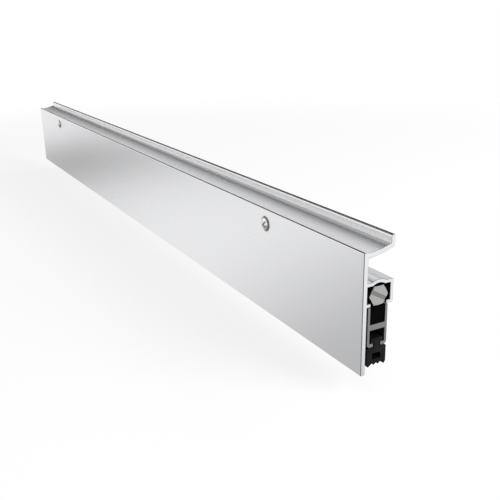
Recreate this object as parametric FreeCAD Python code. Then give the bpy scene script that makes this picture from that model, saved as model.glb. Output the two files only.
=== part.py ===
import FreeCAD, Part
import math
import os

os.makedirs("parts", exist_ok=True)

# Automatic door bottom seal, in millimetres.
# X runs along the seal with the push screw at +X, Y points into the door, Z is up.
# The origin is at mid-length, on the back face that lies on the door, level with the push screw.

# Overall
LENGTH = 460.0
DEPTH = 12.8
PLATE_BOTTOM_Z = -28.9
PLATE_TOP_Z = 16.1
UPSTAND_TOP_Z = 20.45

# Housing section
PLATE_T = 1.8
BACK_WALL_T = 1.3
CEILING_UNDER_Z = 3.73
CEILING_T = 1.4
ARCH_R = 4.5
LIP_TOP_Z = -2.4
LIP_T = 1.3
LIP_SLOT_W = 6.6
TRAY_R = 42.0
TRAY_T = 1.7
TRAY_LOW_Z = 15.35
TRAY_LOW_AHEAD = 2.1
UPSTAND_T = 1.55
UPSTAND_FOOT_R = 0.8
PLATE_RIM_W = 0.95
OUTER_CORNER_R = 0.8
ARRIS_R = 0.42
EDGE_R = 0.3

# Fixing screws
SCREW_FROM_END = 64.5
SCREW_Z = 9.9
SCREW_D = 3.5
SCREW_L = 25.0
SCREW_HEAD_D = 7.1
SCREW_DOME_H = 1.2
SCREW_POINT_L = 4.0
RECESS_ARM_W = 0.9
RECESS_ARM_L = 4.0
RECESS_DEPTH = 1.8
RECESS_FLOOR_SHARE = 0.35

# Seal carrier
CARRIER_W = 8.3
CARRIER_LEG_T = 0.95
CARRIER_TOP_BELOW_LIPS = 0.25
CROSSBAR_TOP_Z = -10.45
CROSSBAR_T = 2.1
CARRIER_LIP_TOP_Z = -17.6
CARRIER_LIP_T = 1.3
CARRIER_SLOT_W = 3.2
CARRIER_CHAMFER = 0.8
CARRIER_END_GAP = 0.2

# Rubber seal
SEAL_HEAD_W = 5.1
SEAL_HEAD_H = 1.85
SEAL_NECK_W = 2.3
SEAL_BODY_W = 8.2
SEAL_SHOULDER_GAP = 0.35
SEAL_SHOULDER_R = 0.5
SEAL_HOLLOW_W = 3.65
SEAL_HOLLOW_H = 2.35
SEAL_HOLLOW_TOP_Z = -21.45
SEAL_HOLLOW_R = 0.3
SOLE_SIDE_Z = -25.55
SOLE_OUTER_TIP_Z = -26.45
SOLE_INNER_TIP_Z = -26.05
SOLE_VALLEY_Z = -25.25
SOLE_OUTER_TIP_Y = 3.4
SOLE_INNER_TIP_Y = 0.9
SOLE_VALLEY_Y = 1.8

# Push screw and its travel
TRAVEL = 5.5
HEX_FLATS = 6.85
HEX_H = 2.8
HEX_FACE_CHAMFER = 0.18
PUSH_SCREW_D = 4.0
PUSH_SCREW_L = 44.0
HEX_SLOT_W = 1.3
HEX_SLOT_DEPTH = 0.6
HEX_SLOT_TURN = -30.0
RUNNING_FIT = 0.1

# Guides at the two ends
GUIDE_SIDE_GAP = 0.1
GUIDE_BEHIND_HEAD = 0.9
GUIDE_L = 17.0
GUIDE_END_GAP = 0.5
FAR_GUIDE_L = 16.0
TONGUE_W = 6.1
TONGUE_TOP_Z = -4.15
TONGUE_ABOVE_CROSSBAR = 0.35

# Slider
BAR_W = 7.0
BAR_UNDER_Z = 0.6
BAR_T = 2.6
BAR_BEHIND_SCREW = 1.0
COUPLING_L = 11.0
COUPLING_TONGUE_L = 12.0
COUPLING_W = 8.6
SLIDE_GAP = 0.1
BLOCK_L = 14.0
SLIDER_BLOCK_W = 9.3
SLIDER_NECK_W = 5.6
BLOCK_FOOT_Z = -4.2
CEILING_GAP = 0.35
ANCHOR_BELOW_BAR = 0.2
ANCHOR_NECK_W = 6.1

# Leaf springs
BLOCK_BEHIND_COUPLING = 1.0
LEAF_SPAN = 100.0
LEAF_W = 5.5
LEAF_T = 0.5
LEAF_MID_FLAT = 12.0
LEAF_END_FLAT = 9.0
LEAF_HOLE_GAP = 0.3

# Rivets
RIVET_D = 2.4
RIVET_HEAD_D = 4.0
RIVET_HEAD_H = 0.7
RIVET_HOLD = 1.6
RIVET_ROUNDING = 0.5
SUNK_HEAD_D = 4.2
SUNK_HEAD_H = 0.9

# Share of a quarter arc's radius by which its middle stands off its corner
ARC_MIDDLE = 1.0 - math.sqrt(0.5)

# Cutting tools reach this far past what they cut
PAST = 1.0

# Points of an outline that are closer than this are one
SAME_PLACE = 1e-6

# Places that follow from the sizes above
END_X = LENGTH / 2.0
FRONT_Y = -DEPTH
PLATE_BACK_Y = FRONT_Y + PLATE_T
WALL_IN_Y = -BACK_WALL_T
AXIS_Y = (PLATE_BACK_Y + WALL_IN_Y) / 2.0
CHAMBER_W = WALL_IN_Y - PLATE_BACK_Y
CEILING_TOP_Z = CEILING_UNDER_Z + CEILING_T
LIP_UNDER_Z = LIP_TOP_Z - LIP_T
CARRIER_TOP_Z = LIP_UNDER_Z - CARRIER_TOP_BELOW_LIPS
CROSSBAR_UNDER_Z = CROSSBAR_TOP_Z - CROSSBAR_T
CARRIER_UNDER_Z = CARRIER_LIP_TOP_Z - CARRIER_LIP_T
CARRIER_INNER_W = CARRIER_W - 2.0 * CARRIER_LEG_T
SCREW_X = END_X - SCREW_FROM_END
UPSTAND_IN_Y = -UPSTAND_T
LEAF_END_MID_Z = BLOCK_FOOT_Z - LEAF_T / 2.0
LEAF_MID_Z = CROSSBAR_TOP_Z + LEAF_T / 2.0
BAR_TOP_Z = BAR_UNDER_Z + BAR_T
SLIDE_FOOT_Z = LIP_TOP_Z + SLIDE_GAP
ANCHOR_TOP_Z = BAR_UNDER_Z - ANCHOR_BELOW_BAR
GUIDE_FRONT_X = END_X - HEX_H - TRAVEL - GUIDE_BEHIND_HEAD

# The tray is part of a wide arc that would be lowest a little in front of the plate
TRAY_CENTRE_Y = FRONT_Y - TRAY_LOW_AHEAD
TRAY_CENTRE_Z = TRAY_LOW_Z + TRAY_R

# The coupling block sits on the push screw's inner end, with its step against the bar's end
COUPLING_STEP_X = END_X - PUSH_SCREW_L - BAR_BEHIND_SCREW
COUPLING_FRONT_X = COUPLING_STEP_X + COUPLING_L
COUPLING_REAR_X = COUPLING_STEP_X - COUPLING_TONGUE_L

# Middles of the leaf springs: the near one starts behind the coupling block, the far one mirrors it
NEAR_LEAF_X = COUPLING_REAR_X - BLOCK_BEHIND_COUPLING - BLOCK_L / 2.0 - LEAF_SPAN / 2.0
LEAF_XS = [NEAR_LEAF_X, -NEAR_LEAF_X]

# A sliding block is at the outer end of each leaf spring, and a fixed one at the inner end
SLIDER_XS = [x + LEAF_SPAN / 2.0 for x in LEAF_XS]
ANCHOR_XS = [x - LEAF_SPAN / 2.0 for x in LEAF_XS]
SCREW_XS = [SCREW_X, -SCREW_X]
BAR_RIVET_XS = [(COUPLING_STEP_X + COUPLING_REAR_X) / 2.0] + SLIDER_XS

# Wall rivets, as (x, z)
ANCHOR_RIVET_Z = (LIP_TOP_Z + ANCHOR_TOP_Z) / 2.0
ANCHOR_RIVET_PLACES = [(x, ANCHOR_RIVET_Z) for x in ANCHOR_XS]
GUIDE_RIVET_PLACES = [
    (GUIDE_FRONT_X - GUIDE_L / 2.0, LIP_TOP_Z / 2.0),
    (-END_X + GUIDE_END_GAP + FAR_GUIDE_L / 2.0, LIP_TOP_Z / 2.0),
]


def corner_round(before, corner, after, radius):
    """Tangent points and middle of the arc that rounds a corner between two straight sides."""
    ax, ay = before[0] - corner[0], before[1] - corner[1]
    bx, by = after[0] - corner[0], after[1] - corner[1]
    la, lb = math.hypot(ax, ay), math.hypot(bx, by)
    ax, ay, bx, by = ax / la, ay / la, bx / lb, by / lb
    half = math.acos(max(-1.0, min(1.0, ax * bx + ay * by))) / 2.0
    reach = radius / math.tan(half)
    cx, cy = ax + bx, ay + by
    lc = math.hypot(cx, cy)
    depth = radius / math.sin(half) - radius
    start = (corner[0] + ax * reach, corner[1] + ay * reach)
    end = (corner[0] + bx * reach, corner[1] + by * reach)
    mid = (corner[0] + cx / lc * depth, corner[1] + cy / lc * depth)
    return start, mid, end


def outline(steps, place):
    """Closed face from steps (u, v, corner radius); a step (u, v, "via") is the middle of an arc."""
    corners = [s for s in steps if s[2] != "via"]
    count = len(corners)
    vias = {}
    seen = 0
    for step in steps:
        if step[2] == "via":
            vias[seen - 1] = (step[0], step[1])
        else:
            seen += 1
    rounds = []
    for i, (u, v, radius) in enumerate(corners):
        before = corners[i - 1]
        after = corners[(i + 1) % count]
        if radius:
            rounds.append(corner_round(before, (u, v), after, radius))
        else:
            rounds.append(((u, v), None, (u, v)))
    edges = []
    for i in range(count):
        start, mid, end = rounds[i]
        if mid:
            edges.append(Part.Arc(place(*start), place(*mid), place(*end)).toShape())
        following = rounds[(i + 1) % count][0]
        if i in vias:
            edges.append(Part.Arc(place(*end), place(*vias[i]), place(*following)).toShape())
        elif math.hypot(end[0] - following[0], end[1] - following[1]) > SAME_PLACE:
            edges.append(Part.makeLine(place(*end), place(*following)))
    return Part.Face(Part.Wire(edges))


def mirrored(right, middle=()):
    """Steps of a section that is the same on both sides of the push screw's axis.

    right has (half width, z, corner radius) steps, and middle the (z, corner radius) steps between.
    """
    steps = [(AXIS_Y + y, z, radius) for y, z, radius in right]
    steps += [(AXIS_Y, z, radius) for z, radius in middle]
    return steps + [(AXIS_Y - y, z, radius) for y, z, radius in reversed(right)]


def along_x(steps, x0, x1):
    """Body of a section given in (y, z), from x0 to x1."""
    face = outline(steps, lambda y, z: FreeCAD.Vector(x0, y, z))
    return face.extrude(FreeCAD.Vector(x1 - x0, 0, 0))


def box(x0, x1, y0, y1, z0, z1):
    return Part.makeBox(x1 - x0, y1 - y0, z1 - z0, FreeCAD.Vector(x0, y0, z0))


def centred_box(x0, x1, width, z0, z1):
    return box(x0, x1, AXIS_Y - width / 2.0, AXIS_Y + width / 2.0, z0, z1)


def rod(start, direction, radius, length):
    return Part.makeCylinder(radius, length, FreeCAD.Vector(*start), FreeCAD.Vector(*direction))


def turned(points, start, direction):
    """Solid of revolution from (distance along, radius) points, starting at a place along a direction."""
    wire = Part.makePolygon([FreeCAD.Vector(r, 0, h) for h, r in points + points[:1]])
    solid = Part.Face(wire).revolve(FreeCAD.Vector(0, 0, 0), FreeCAD.Vector(0, 0, 1), 360)
    turn = FreeCAD.Rotation(FreeCAD.Vector(0, 0, 1), FreeCAD.Vector(*direction))
    solid.Placement = FreeCAD.Placement(FreeCAD.Vector(*start), turn)
    return solid


def arc_point(radius, angle_deg):
    """Point of a circle about the push screw's axis, in (y, z)."""
    a = math.radians(angle_deg)
    return AXIS_Y + radius * math.cos(a), radius * math.sin(a)


def tray_z(radius, y):
    """Height of the tray's upper or lower arc above a place in depth."""
    return TRAY_CENTRE_Z - math.sqrt(radius ** 2 - (y - TRAY_CENTRE_Y) ** 2)


def arch_half(radius, z):
    """Half width of the arch at a height."""
    return math.sqrt(radius ** 2 - z ** 2)


def housing_section():
    """Section of the extrusion: front plate, sloping tray, upstand, and the box with its two lips."""
    under_r = TRAY_R + TRAY_T
    arch_out = ARCH_R + CEILING_T
    in_half = arch_half(ARCH_R, CEILING_UNDER_Z)
    out_half = arch_half(arch_out, CEILING_TOP_Z)
    lip_half = LIP_SLOT_W / 2.0
    rim_y = FRONT_Y + PLATE_RIM_W
    tray_mid_y = (PLATE_BACK_Y + UPSTAND_IN_Y) / 2.0
    foot_y = -UPSTAND_FOOT_R
    foot_z = tray_z(under_r, foot_y)
    return [
        (FRONT_Y, PLATE_BOTTOM_Z, EDGE_R),
        (FRONT_Y, PLATE_TOP_Z, ARRIS_R),
        (rim_y, PLATE_TOP_Z, EDGE_R),
        (PLATE_BACK_Y, tray_z(TRAY_R, PLATE_BACK_Y), 0),
        (tray_mid_y, tray_z(TRAY_R, tray_mid_y), "via"),
        (UPSTAND_IN_Y, tray_z(TRAY_R, UPSTAND_IN_Y), 0),
        (UPSTAND_IN_Y, UPSTAND_TOP_Z, EDGE_R),
        (0.0, UPSTAND_TOP_Z, ARRIS_R),
        (0.0, foot_z + UPSTAND_FOOT_R, 0),
        (foot_y * ARC_MIDDLE, foot_z + UPSTAND_FOOT_R * ARC_MIDDLE, "via"),
        (foot_y, foot_z, 0),
        (tray_mid_y, tray_z(under_r, tray_mid_y), "via"),
        (PLATE_BACK_Y, tray_z(under_r, PLATE_BACK_Y), 0),
        (PLATE_BACK_Y, CEILING_TOP_Z, 0),
        (AXIS_Y - out_half, CEILING_TOP_Z, 0),
        (AXIS_Y, arch_out, "via"),
        (AXIS_Y + out_half, CEILING_TOP_Z, 0),
        (0.0, CEILING_TOP_Z, OUTER_CORNER_R),
        (0.0, LIP_UNDER_Z, OUTER_CORNER_R),
        (AXIS_Y + lip_half, LIP_UNDER_Z, 0),
        (AXIS_Y + lip_half, LIP_TOP_Z, 0),
        (WALL_IN_Y, LIP_TOP_Z, 0),
        (WALL_IN_Y, CEILING_UNDER_Z, 0),
        (AXIS_Y + in_half, CEILING_UNDER_Z, 0),
        (AXIS_Y, ARCH_R, "via"),
        (AXIS_Y - in_half, CEILING_UNDER_Z, 0),
        (PLATE_BACK_Y, CEILING_UNDER_Z, 0),
        (PLATE_BACK_Y, LIP_TOP_Z, 0),
        (AXIS_Y - lip_half, LIP_TOP_Z, 0),
        (AXIS_Y - lip_half, LIP_UNDER_Z, 0),
        (PLATE_BACK_Y, LIP_UNDER_Z, 0),
        (PLATE_BACK_Y, PLATE_BOTTOM_Z, EDGE_R),
    ]


def screw_body(x):
    """Raised countersunk self-tapping screw, its head's rim level with the plate."""
    head_r = SCREW_HEAD_D / 2.0
    shank_r = SCREW_D / 2.0
    dome_r = (head_r ** 2 + SCREW_DOME_H ** 2) / (2.0 * SCREW_DOME_H)
    cone = head_r - shank_r
    start = (x, FRONT_Y, SCREW_Z)
    into = (0, 1, 0)
    side = [(0, 0), (0, head_r), (cone, shank_r), (SCREW_L - SCREW_POINT_L, shank_r), (SCREW_L, 0)]
    body = turned(side, start, into)
    ball = Part.makeSphere(dome_r, FreeCAD.Vector(x, FRONT_Y + dome_r - SCREW_DOME_H, SCREW_Z))
    cap = ball.common(rod((x, FRONT_Y - SCREW_DOME_H, SCREW_Z), into, head_r, SCREW_DOME_H))
    return body.fuse(cap).removeSplitter().cut(cross_recess(x))


def cross_recess(x):
    """Cross recess with arms that narrow towards its floor."""
    top_y = FRONT_Y - SCREW_DOME_H
    floor_y = top_y + RECESS_DEPTH
    arm = [
        (-RECESS_ARM_L / 2.0, top_y, 0),
        (RECESS_ARM_L / 2.0, top_y, 0),
        (RECESS_ARM_L / 2.0 * RECESS_FLOOR_SHARE, floor_y, 0),
        (-RECESS_ARM_L / 2.0 * RECESS_FLOOR_SHARE, floor_y, 0),
    ]
    half = RECESS_ARM_W / 2.0
    level = outline(arm, lambda u, y: FreeCAD.Vector(x + u, y, SCREW_Z - half))
    upright = outline(arm, lambda u, y: FreeCAD.Vector(x - half, y, SCREW_Z + u))
    first = level.extrude(FreeCAD.Vector(0, 0, RECESS_ARM_W))
    return first.fuse(upright.extrude(FreeCAD.Vector(RECESS_ARM_W, 0, 0)))


def screw_hole(x):
    """Countersunk hole of a fixing screw in the plate."""
    head_r = SCREW_HEAD_D / 2.0
    shank_r = SCREW_D / 2.0
    cone = head_r - shank_r
    points = [(0, 0), (0, head_r), (cone, shank_r), (PLATE_T + PAST, shank_r), (PLATE_T + PAST, 0)]
    return turned(points, (x, FRONT_Y, SCREW_Z), (0, 1, 0))


def sunk_rivet(x, z):
    """Countersunk rivet from the back face through the wall."""
    head_r = SUNK_HEAD_D / 2.0
    shank_r = RIVET_D / 2.0
    length = BACK_WALL_T + RIVET_HOLD
    points = [(0, 0), (0, head_r), (SUNK_HEAD_H, shank_r), (length, shank_r), (length, 0)]
    return turned(points, (x, 0, z), (0, -1, 0))


def housing_profile():
    """Extrusion with its countersunk holes for screws and wall rivets."""
    body = along_x(housing_section(), -END_X, END_X)
    for x in SCREW_XS:
        body = body.cut(screw_hole(x))
    for x, z in ANCHOR_RIVET_PLACES + GUIDE_RIVET_PLACES:
        body = body.cut(sunk_rivet(x, z))
    return body


def guide_body(x0, x1, tongue_x0, tongue_x1):
    """Nylon insert: a block that fills the chamber and a tongue between the carrier's legs."""
    width = CHAMBER_W - 2.0 * GUIDE_SIDE_GAP
    block = centred_box(x0, x1, width, LIP_TOP_Z, CEILING_UNDER_Z)
    crown = rod((x0, AXIS_Y, 0), (1, 0, 0), ARCH_R - GUIDE_SIDE_GAP, x1 - x0)
    crown = crown.common(centred_box(x0, x1, width, 0, ARCH_R))
    neck = centred_box(x0, x1, TONGUE_W, TONGUE_TOP_Z, LIP_TOP_Z)
    floor_z = CROSSBAR_TOP_Z + TONGUE_ABOVE_CROSSBAR
    tongue = centred_box(tongue_x0, tongue_x1, TONGUE_W, floor_z, TONGUE_TOP_Z)
    back = box(x0, x1, AXIS_Y + width / 2.0, WALL_IN_Y, LIP_TOP_Z, CEILING_UNDER_Z)
    return block.fuse([crown, neck, tongue, back]).removeSplitter()


def plunger_guide():
    """Near insert: the push screw runs in its bore, and its tongue goes on to the seal's end."""
    x0 = GUIDE_FRONT_X - GUIDE_L
    body = guide_body(x0, GUIDE_FRONT_X, x0, END_X - GUIDE_END_GAP)
    bore = rod((x0, AXIS_Y, 0), (1, 0, 0), PUSH_SCREW_D / 2.0 + RUNNING_FIT, GUIDE_L)
    body = body.cut(bore)
    return body.cut(sunk_rivet(*GUIDE_RIVET_PLACES[0]))


def far_guide():
    x0 = -END_X + GUIDE_END_GAP
    x1 = x0 + FAR_GUIDE_L
    body = guide_body(x0, x1, x0, x1)
    return body.cut(sunk_rivet(*GUIDE_RIVET_PLACES[1]))


def hex_prism(x0, height, flats):
    """Hexagon about the push screw's axis with flats above and below."""
    radius = flats / math.sqrt(3.0)
    corners = [arc_point(radius, 60.0 * i) for i in range(6)]
    return along_x([(y, z, 0) for y, z in corners], x0, x0 + height)


def adjusting_screw():
    """Hexagon head screw with a slot across its face; the head's face is level with the profile's end."""
    head = hex_prism(END_X - HEX_H, HEX_H, HEX_FLATS)
    corner_r = HEX_FLATS / math.sqrt(3.0)
    rim_r = HEX_FLATS / 2.0
    rounding = turned(
        [(0, 0), (0, rim_r), (HEX_FACE_CHAMFER, corner_r), (HEX_H, corner_r), (HEX_H, 0)],
        (END_X, AXIS_Y, 0),
        (-1, 0, 0),
    )
    shank = rod((END_X - PUSH_SCREW_L, AXIS_Y, 0), (1, 0, 0), PUSH_SCREW_D / 2.0, PUSH_SCREW_L - HEX_H)
    half = HEX_SLOT_W / 2.0
    slot = centred_box(END_X - HEX_SLOT_DEPTH, END_X + PAST, HEX_FLATS * 2.0, -half, half)
    slot.rotate(FreeCAD.Vector(0, AXIS_Y, 0), FreeCAD.Vector(1, 0, 0), HEX_SLOT_TURN)
    return head.common(rounding).fuse(shank).removeSplitter().cut(slot)


def coupling_block():
    """Block that the push screw turns in: a tall head, and a tongue that lies under the bar."""
    top = CEILING_UNDER_Z - CEILING_GAP
    head = centred_box(COUPLING_STEP_X, COUPLING_FRONT_X, COUPLING_W, SLIDE_FOOT_Z, top)
    tongue = centred_box(COUPLING_REAR_X, COUPLING_STEP_X, COUPLING_W, SLIDE_FOOT_Z, BAR_UNDER_Z)
    bore_r = PUSH_SCREW_D / 2.0 + RUNNING_FIT
    bore = rod((COUPLING_STEP_X - PAST, AXIS_Y, 0), (1, 0, 0), bore_r, COUPLING_L + PAST * 2.0)
    body = head.fuse(tongue).removeSplitter().cut(bore)
    return body.cut(bar_rivet(BAR_RIVET_XS[0]))


def bar_rivet(x):
    """Flat-headed rivet down through the bar; its head is let into the bar's top."""
    head_r = RIVET_HEAD_D / 2.0
    shank_r = RIVET_D / 2.0
    length = BAR_T + RIVET_HOLD
    points = [
        (0, 0),
        (0, head_r),
        (RIVET_HEAD_H, head_r),
        (RIVET_HEAD_H, shank_r),
        (length, shank_r),
        (length, 0),
    ]
    return turned(points, (x, AXIS_Y, BAR_TOP_Z), (0, 0, -1))


def slider_bar():
    """Flat bar from the coupling block's step to the far end of the far sliding block."""
    far = SLIDER_XS[1] - BLOCK_L / 2.0
    body = centred_box(far, COUPLING_STEP_X, BAR_W, BAR_UNDER_Z, BAR_TOP_Z)
    for x in BAR_RIVET_XS:
        body = body.cut(bar_rivet(x))
    return body


def foot_rivet(x):
    """Rivet up through the end of a leaf spring into its block, with a round head below."""
    head_r = RIVET_HEAD_D / 2.0
    shank_r = RIVET_D / 2.0
    below = BLOCK_FOOT_Z - LEAF_T - RIVET_HEAD_H
    length = RIVET_HEAD_H + LEAF_T + RIVET_HOLD
    points = [
        (0, 0),
        (0, head_r - RIVET_ROUNDING),
        (RIVET_HEAD_H, head_r),
        (RIVET_HEAD_H, shank_r),
        (length, shank_r),
        (length, 0),
    ]
    return turned(points, (x, AXIS_Y, below), (0, 0, 1))


def slider_block(middle):
    """Block under the bar that slides on the profile's lips, with a neck down between them."""
    half = BLOCK_L / 2.0
    body = centred_box(middle - half, middle + half, SLIDER_BLOCK_W, SLIDE_FOOT_Z, BAR_UNDER_Z)
    neck = centred_box(middle - half, middle + half, SLIDER_NECK_W, BLOCK_FOOT_Z, SLIDE_FOOT_Z)
    body = body.fuse(neck).removeSplitter()
    return body.cut(bar_rivet(middle)).cut(foot_rivet(middle))


def anchor_block(middle):
    """Block riveted to the back wall, with a neck down between the lips that holds a leaf spring."""
    half = BLOCK_L / 2.0
    front = PLATE_BACK_Y + GUIDE_SIDE_GAP
    body = box(middle - half, middle + half, front, WALL_IN_Y, LIP_TOP_Z, ANCHOR_TOP_Z)
    neck = centred_box(middle - half, middle + half, ANCHOR_NECK_W, BLOCK_FOOT_Z, LIP_TOP_Z)
    body = body.fuse(neck).removeSplitter()
    body = body.cut(sunk_rivet(middle, ANCHOR_RIVET_Z))
    return body.cut(foot_rivet(middle))


def mid_rivet(x):
    """Rivet down through the middle of a leaf spring and the carrier's crossbar."""
    head_r = RIVET_HEAD_D / 2.0
    shank_r = RIVET_D / 2.0
    top = CROSSBAR_TOP_Z + LEAF_T + RIVET_HEAD_H
    through = RIVET_HEAD_H + LEAF_T + CROSSBAR_T
    end = through + RIVET_HEAD_H
    points = [
        (0, 0),
        (0, head_r - RIVET_ROUNDING),
        (RIVET_HEAD_H, head_r),
        (RIVET_HEAD_H, shank_r),
        (through, shank_r),
        (through, head_r - RIVET_ROUNDING),
        (end, head_r - RIVET_ROUNDING),
        (end, 0),
    ]
    return turned(points, (x, AXIS_Y, top), (0, 0, -1))


def leaf_half_line(sign, offset):
    """Steps along one face of half a leaf spring, from its middle outwards.

    Two arcs that touch each other lie between the flat at the middle and the flat at the end.
    """
    run = LEAF_SPAN / 2.0 - LEAF_MID_FLAT / 2.0 - LEAF_END_FLAT / 2.0
    rise = LEAF_END_MID_Z - LEAF_MID_Z
    turn = 2.0 * math.atan(rise / run)
    radius = run / 2.0 / math.sin(turn)
    x0 = LEAF_MID_FLAT / 2.0
    low_r, high_r = radius - offset, radius + offset

    def low(angle, kind=0):
        x = x0 + low_r * math.sin(angle)
        return sign * x, LEAF_MID_Z + radius - low_r * math.cos(angle), kind

    def high(angle, kind=0):
        x = x0 + run - high_r * math.sin(angle)
        return sign * x, LEAF_END_MID_Z - radius + high_r * math.cos(angle), kind

    end = (sign * (LEAF_SPAN + LEAF_END_FLAT) / 2.0, LEAF_END_MID_Z + offset, 0)
    return [low(0.0), low(turn / 2.0, "via"), low(turn), high(turn / 2.0, "via"), high(0.0), end]


def leaf_spring(middle):
    """Flat spring, bowed down at its middle, with a hole for a rivet at each end and at its middle."""
    half_t = LEAF_T / 2.0
    upper = leaf_half_line(-1, half_t)[::-1] + leaf_half_line(1, half_t)
    lower = leaf_half_line(1, -half_t)[::-1] + leaf_half_line(-1, -half_t)
    y0 = AXIS_Y - LEAF_W / 2.0
    face = outline(upper + lower, lambda x, z: FreeCAD.Vector(middle + x, y0, z))
    body = face.extrude(FreeCAD.Vector(0, LEAF_W, 0))
    hole_r = RIVET_D / 2.0 + LEAF_HOLE_GAP
    for x in (middle - LEAF_SPAN / 2.0, middle + LEAF_SPAN / 2.0):
        under = (x, AXIS_Y, BLOCK_FOOT_Z - LEAF_T - PAST)
        body = body.cut(rod(under, (0, 0, 1), hole_r, LEAF_T + PAST * 2.0))
    return body.cut(mid_rivet(middle))


def seal_carrier():
    """Profile with two legs and a crossbar above, and a slot between two lips for the rubber."""
    out = CARRIER_W / 2.0
    inn = CARRIER_INNER_W / 2.0
    slot = CARRIER_SLOT_W / 2.0
    section = mirrored([
        (inn, CROSSBAR_TOP_Z, 0),
        (inn, CARRIER_TOP_Z, 0),
        (out, CARRIER_TOP_Z, EDGE_R),
        (out, CARRIER_UNDER_Z + CARRIER_CHAMFER, 0),
        (out - CARRIER_CHAMFER, CARRIER_UNDER_Z, 0),
        (slot, CARRIER_UNDER_Z, 0),
        (slot, CARRIER_LIP_TOP_Z, 0),
        (inn, CARRIER_LIP_TOP_Z, 0),
        (inn, CROSSBAR_UNDER_Z, 0),
    ])
    body = along_x(section, -END_X + CARRIER_END_GAP, END_X - CARRIER_END_GAP)
    for x in LEAF_XS:
        body = body.cut(mid_rivet(x))
    return body


def rubber_seal():
    """Rubber with a T head in the carrier's slot, a hollow body and four ribs under its sole."""
    head = SEAL_HEAD_W / 2.0
    neck = SEAL_NECK_W / 2.0
    side = SEAL_BODY_W / 2.0
    shoulder_z = CARRIER_UNDER_Z - SEAL_SHOULDER_GAP
    right = [
        (head, CARRIER_LIP_TOP_Z + SEAL_HEAD_H, 0),
        (head, CARRIER_LIP_TOP_Z, 0),
        (neck, CARRIER_LIP_TOP_Z, 0),
        (neck, shoulder_z, 0),
        (side, shoulder_z, SEAL_SHOULDER_R),
        (side, SOLE_SIDE_Z, 0),
        (SOLE_OUTER_TIP_Y, SOLE_OUTER_TIP_Z, 0),
        (SOLE_VALLEY_Y, SOLE_VALLEY_Z, 0),
        (SOLE_INNER_TIP_Y, SOLE_INNER_TIP_Z, 0),
    ]
    half = SEAL_HOLLOW_W / 2.0
    floor_z = SEAL_HOLLOW_TOP_Z - SEAL_HOLLOW_H
    hollow = [(half, SEAL_HOLLOW_TOP_Z, SEAL_HOLLOW_R), (half, floor_z, SEAL_HOLLOW_R)]
    x0, x1 = -END_X + CARRIER_END_GAP, END_X - CARRIER_END_GAP
    body = along_x(mirrored(right, [(SOLE_VALLEY_Z, 0)]), x0, x1)
    return body.cut(along_x(mirrored(hollow), x0 - PAST, x1 + PAST))


def save(name, *shapes):
    """Writes a node; one that repeats a piece holds all its copies."""
    body = shapes[0] if len(shapes) == 1 else Part.makeCompound(shapes)
    body.exportStep("parts/" + name + ".step")


save("housing_profile", housing_profile())
save("fixing_screws", *[screw_body(x) for x in SCREW_XS])
save("plunger_guide", plunger_guide())
save("far_guide", far_guide())
save("guide_rivets", *[sunk_rivet(x, z) for x, z in GUIDE_RIVET_PLACES])
save("adjusting_screw", adjusting_screw())
save("coupling_block", coupling_block())
save("slider_bar", slider_bar())
save("slider_bar_rivets", *[bar_rivet(x) for x in BAR_RIVET_XS])
save("slider_leaf_rivets", *[foot_rivet(x) for x in SLIDER_XS])
save("anchor_wall_rivets", *[sunk_rivet(x, z) for x, z in ANCHOR_RIVET_PLACES])
save("anchor_leaf_rivets", *[foot_rivet(x) for x in ANCHOR_XS])
save("seal_carrier", seal_carrier())
save("carrier_leaf_rivets", *[mid_rivet(x) for x in LEAF_XS])
save("rubber_seal", rubber_seal())
for i, side in enumerate(("near", "far")):
    save("slider_block_" + side, slider_block(SLIDER_XS[i]))
    save("anchor_block_" + side, anchor_block(ANCHOR_XS[i]))
    save("leaf_spring_" + side, leaf_spring(LEAF_XS[i]))
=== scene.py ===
"""Automatic door bottom seal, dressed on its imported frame.

Lengths in the classes are millimetres in the part's own frame: X along the seal with the push
screw at +X, Y into the door, Z up. Meshes are written in metres.
"""

import logging
import math
from collections.abc import Sequence
from dataclasses import dataclass, field
from enum import Enum, IntEnum

import bmesh
import bpy
import numpy as np
from mathutils import Matrix, Vector
from mathutils.geometry import tessellate_polygon


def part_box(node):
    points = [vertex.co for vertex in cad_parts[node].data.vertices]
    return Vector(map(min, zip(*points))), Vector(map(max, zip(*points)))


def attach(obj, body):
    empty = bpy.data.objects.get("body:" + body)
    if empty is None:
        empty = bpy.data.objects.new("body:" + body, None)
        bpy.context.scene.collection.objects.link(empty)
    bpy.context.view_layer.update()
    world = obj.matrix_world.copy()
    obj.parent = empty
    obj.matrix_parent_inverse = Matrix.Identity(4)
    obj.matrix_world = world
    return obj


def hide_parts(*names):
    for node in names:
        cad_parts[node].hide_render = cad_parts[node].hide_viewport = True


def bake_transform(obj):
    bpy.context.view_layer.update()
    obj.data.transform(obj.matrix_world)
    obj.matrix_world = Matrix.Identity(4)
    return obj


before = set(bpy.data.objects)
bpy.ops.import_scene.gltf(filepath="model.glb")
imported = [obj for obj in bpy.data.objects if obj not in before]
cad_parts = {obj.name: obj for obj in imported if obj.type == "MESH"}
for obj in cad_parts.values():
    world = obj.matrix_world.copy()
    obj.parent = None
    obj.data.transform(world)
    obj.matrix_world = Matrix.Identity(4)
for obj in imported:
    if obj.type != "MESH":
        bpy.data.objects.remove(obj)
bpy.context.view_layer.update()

log = logging.getLogger("door_seal")

Array = np.ndarray
Point = tuple[float, float]
Place = tuple[float, float, float]
Colour = tuple[float, float, float]
Inputs = dict[str | int, object]
Socket = bpy.types.NodeSocket

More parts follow.
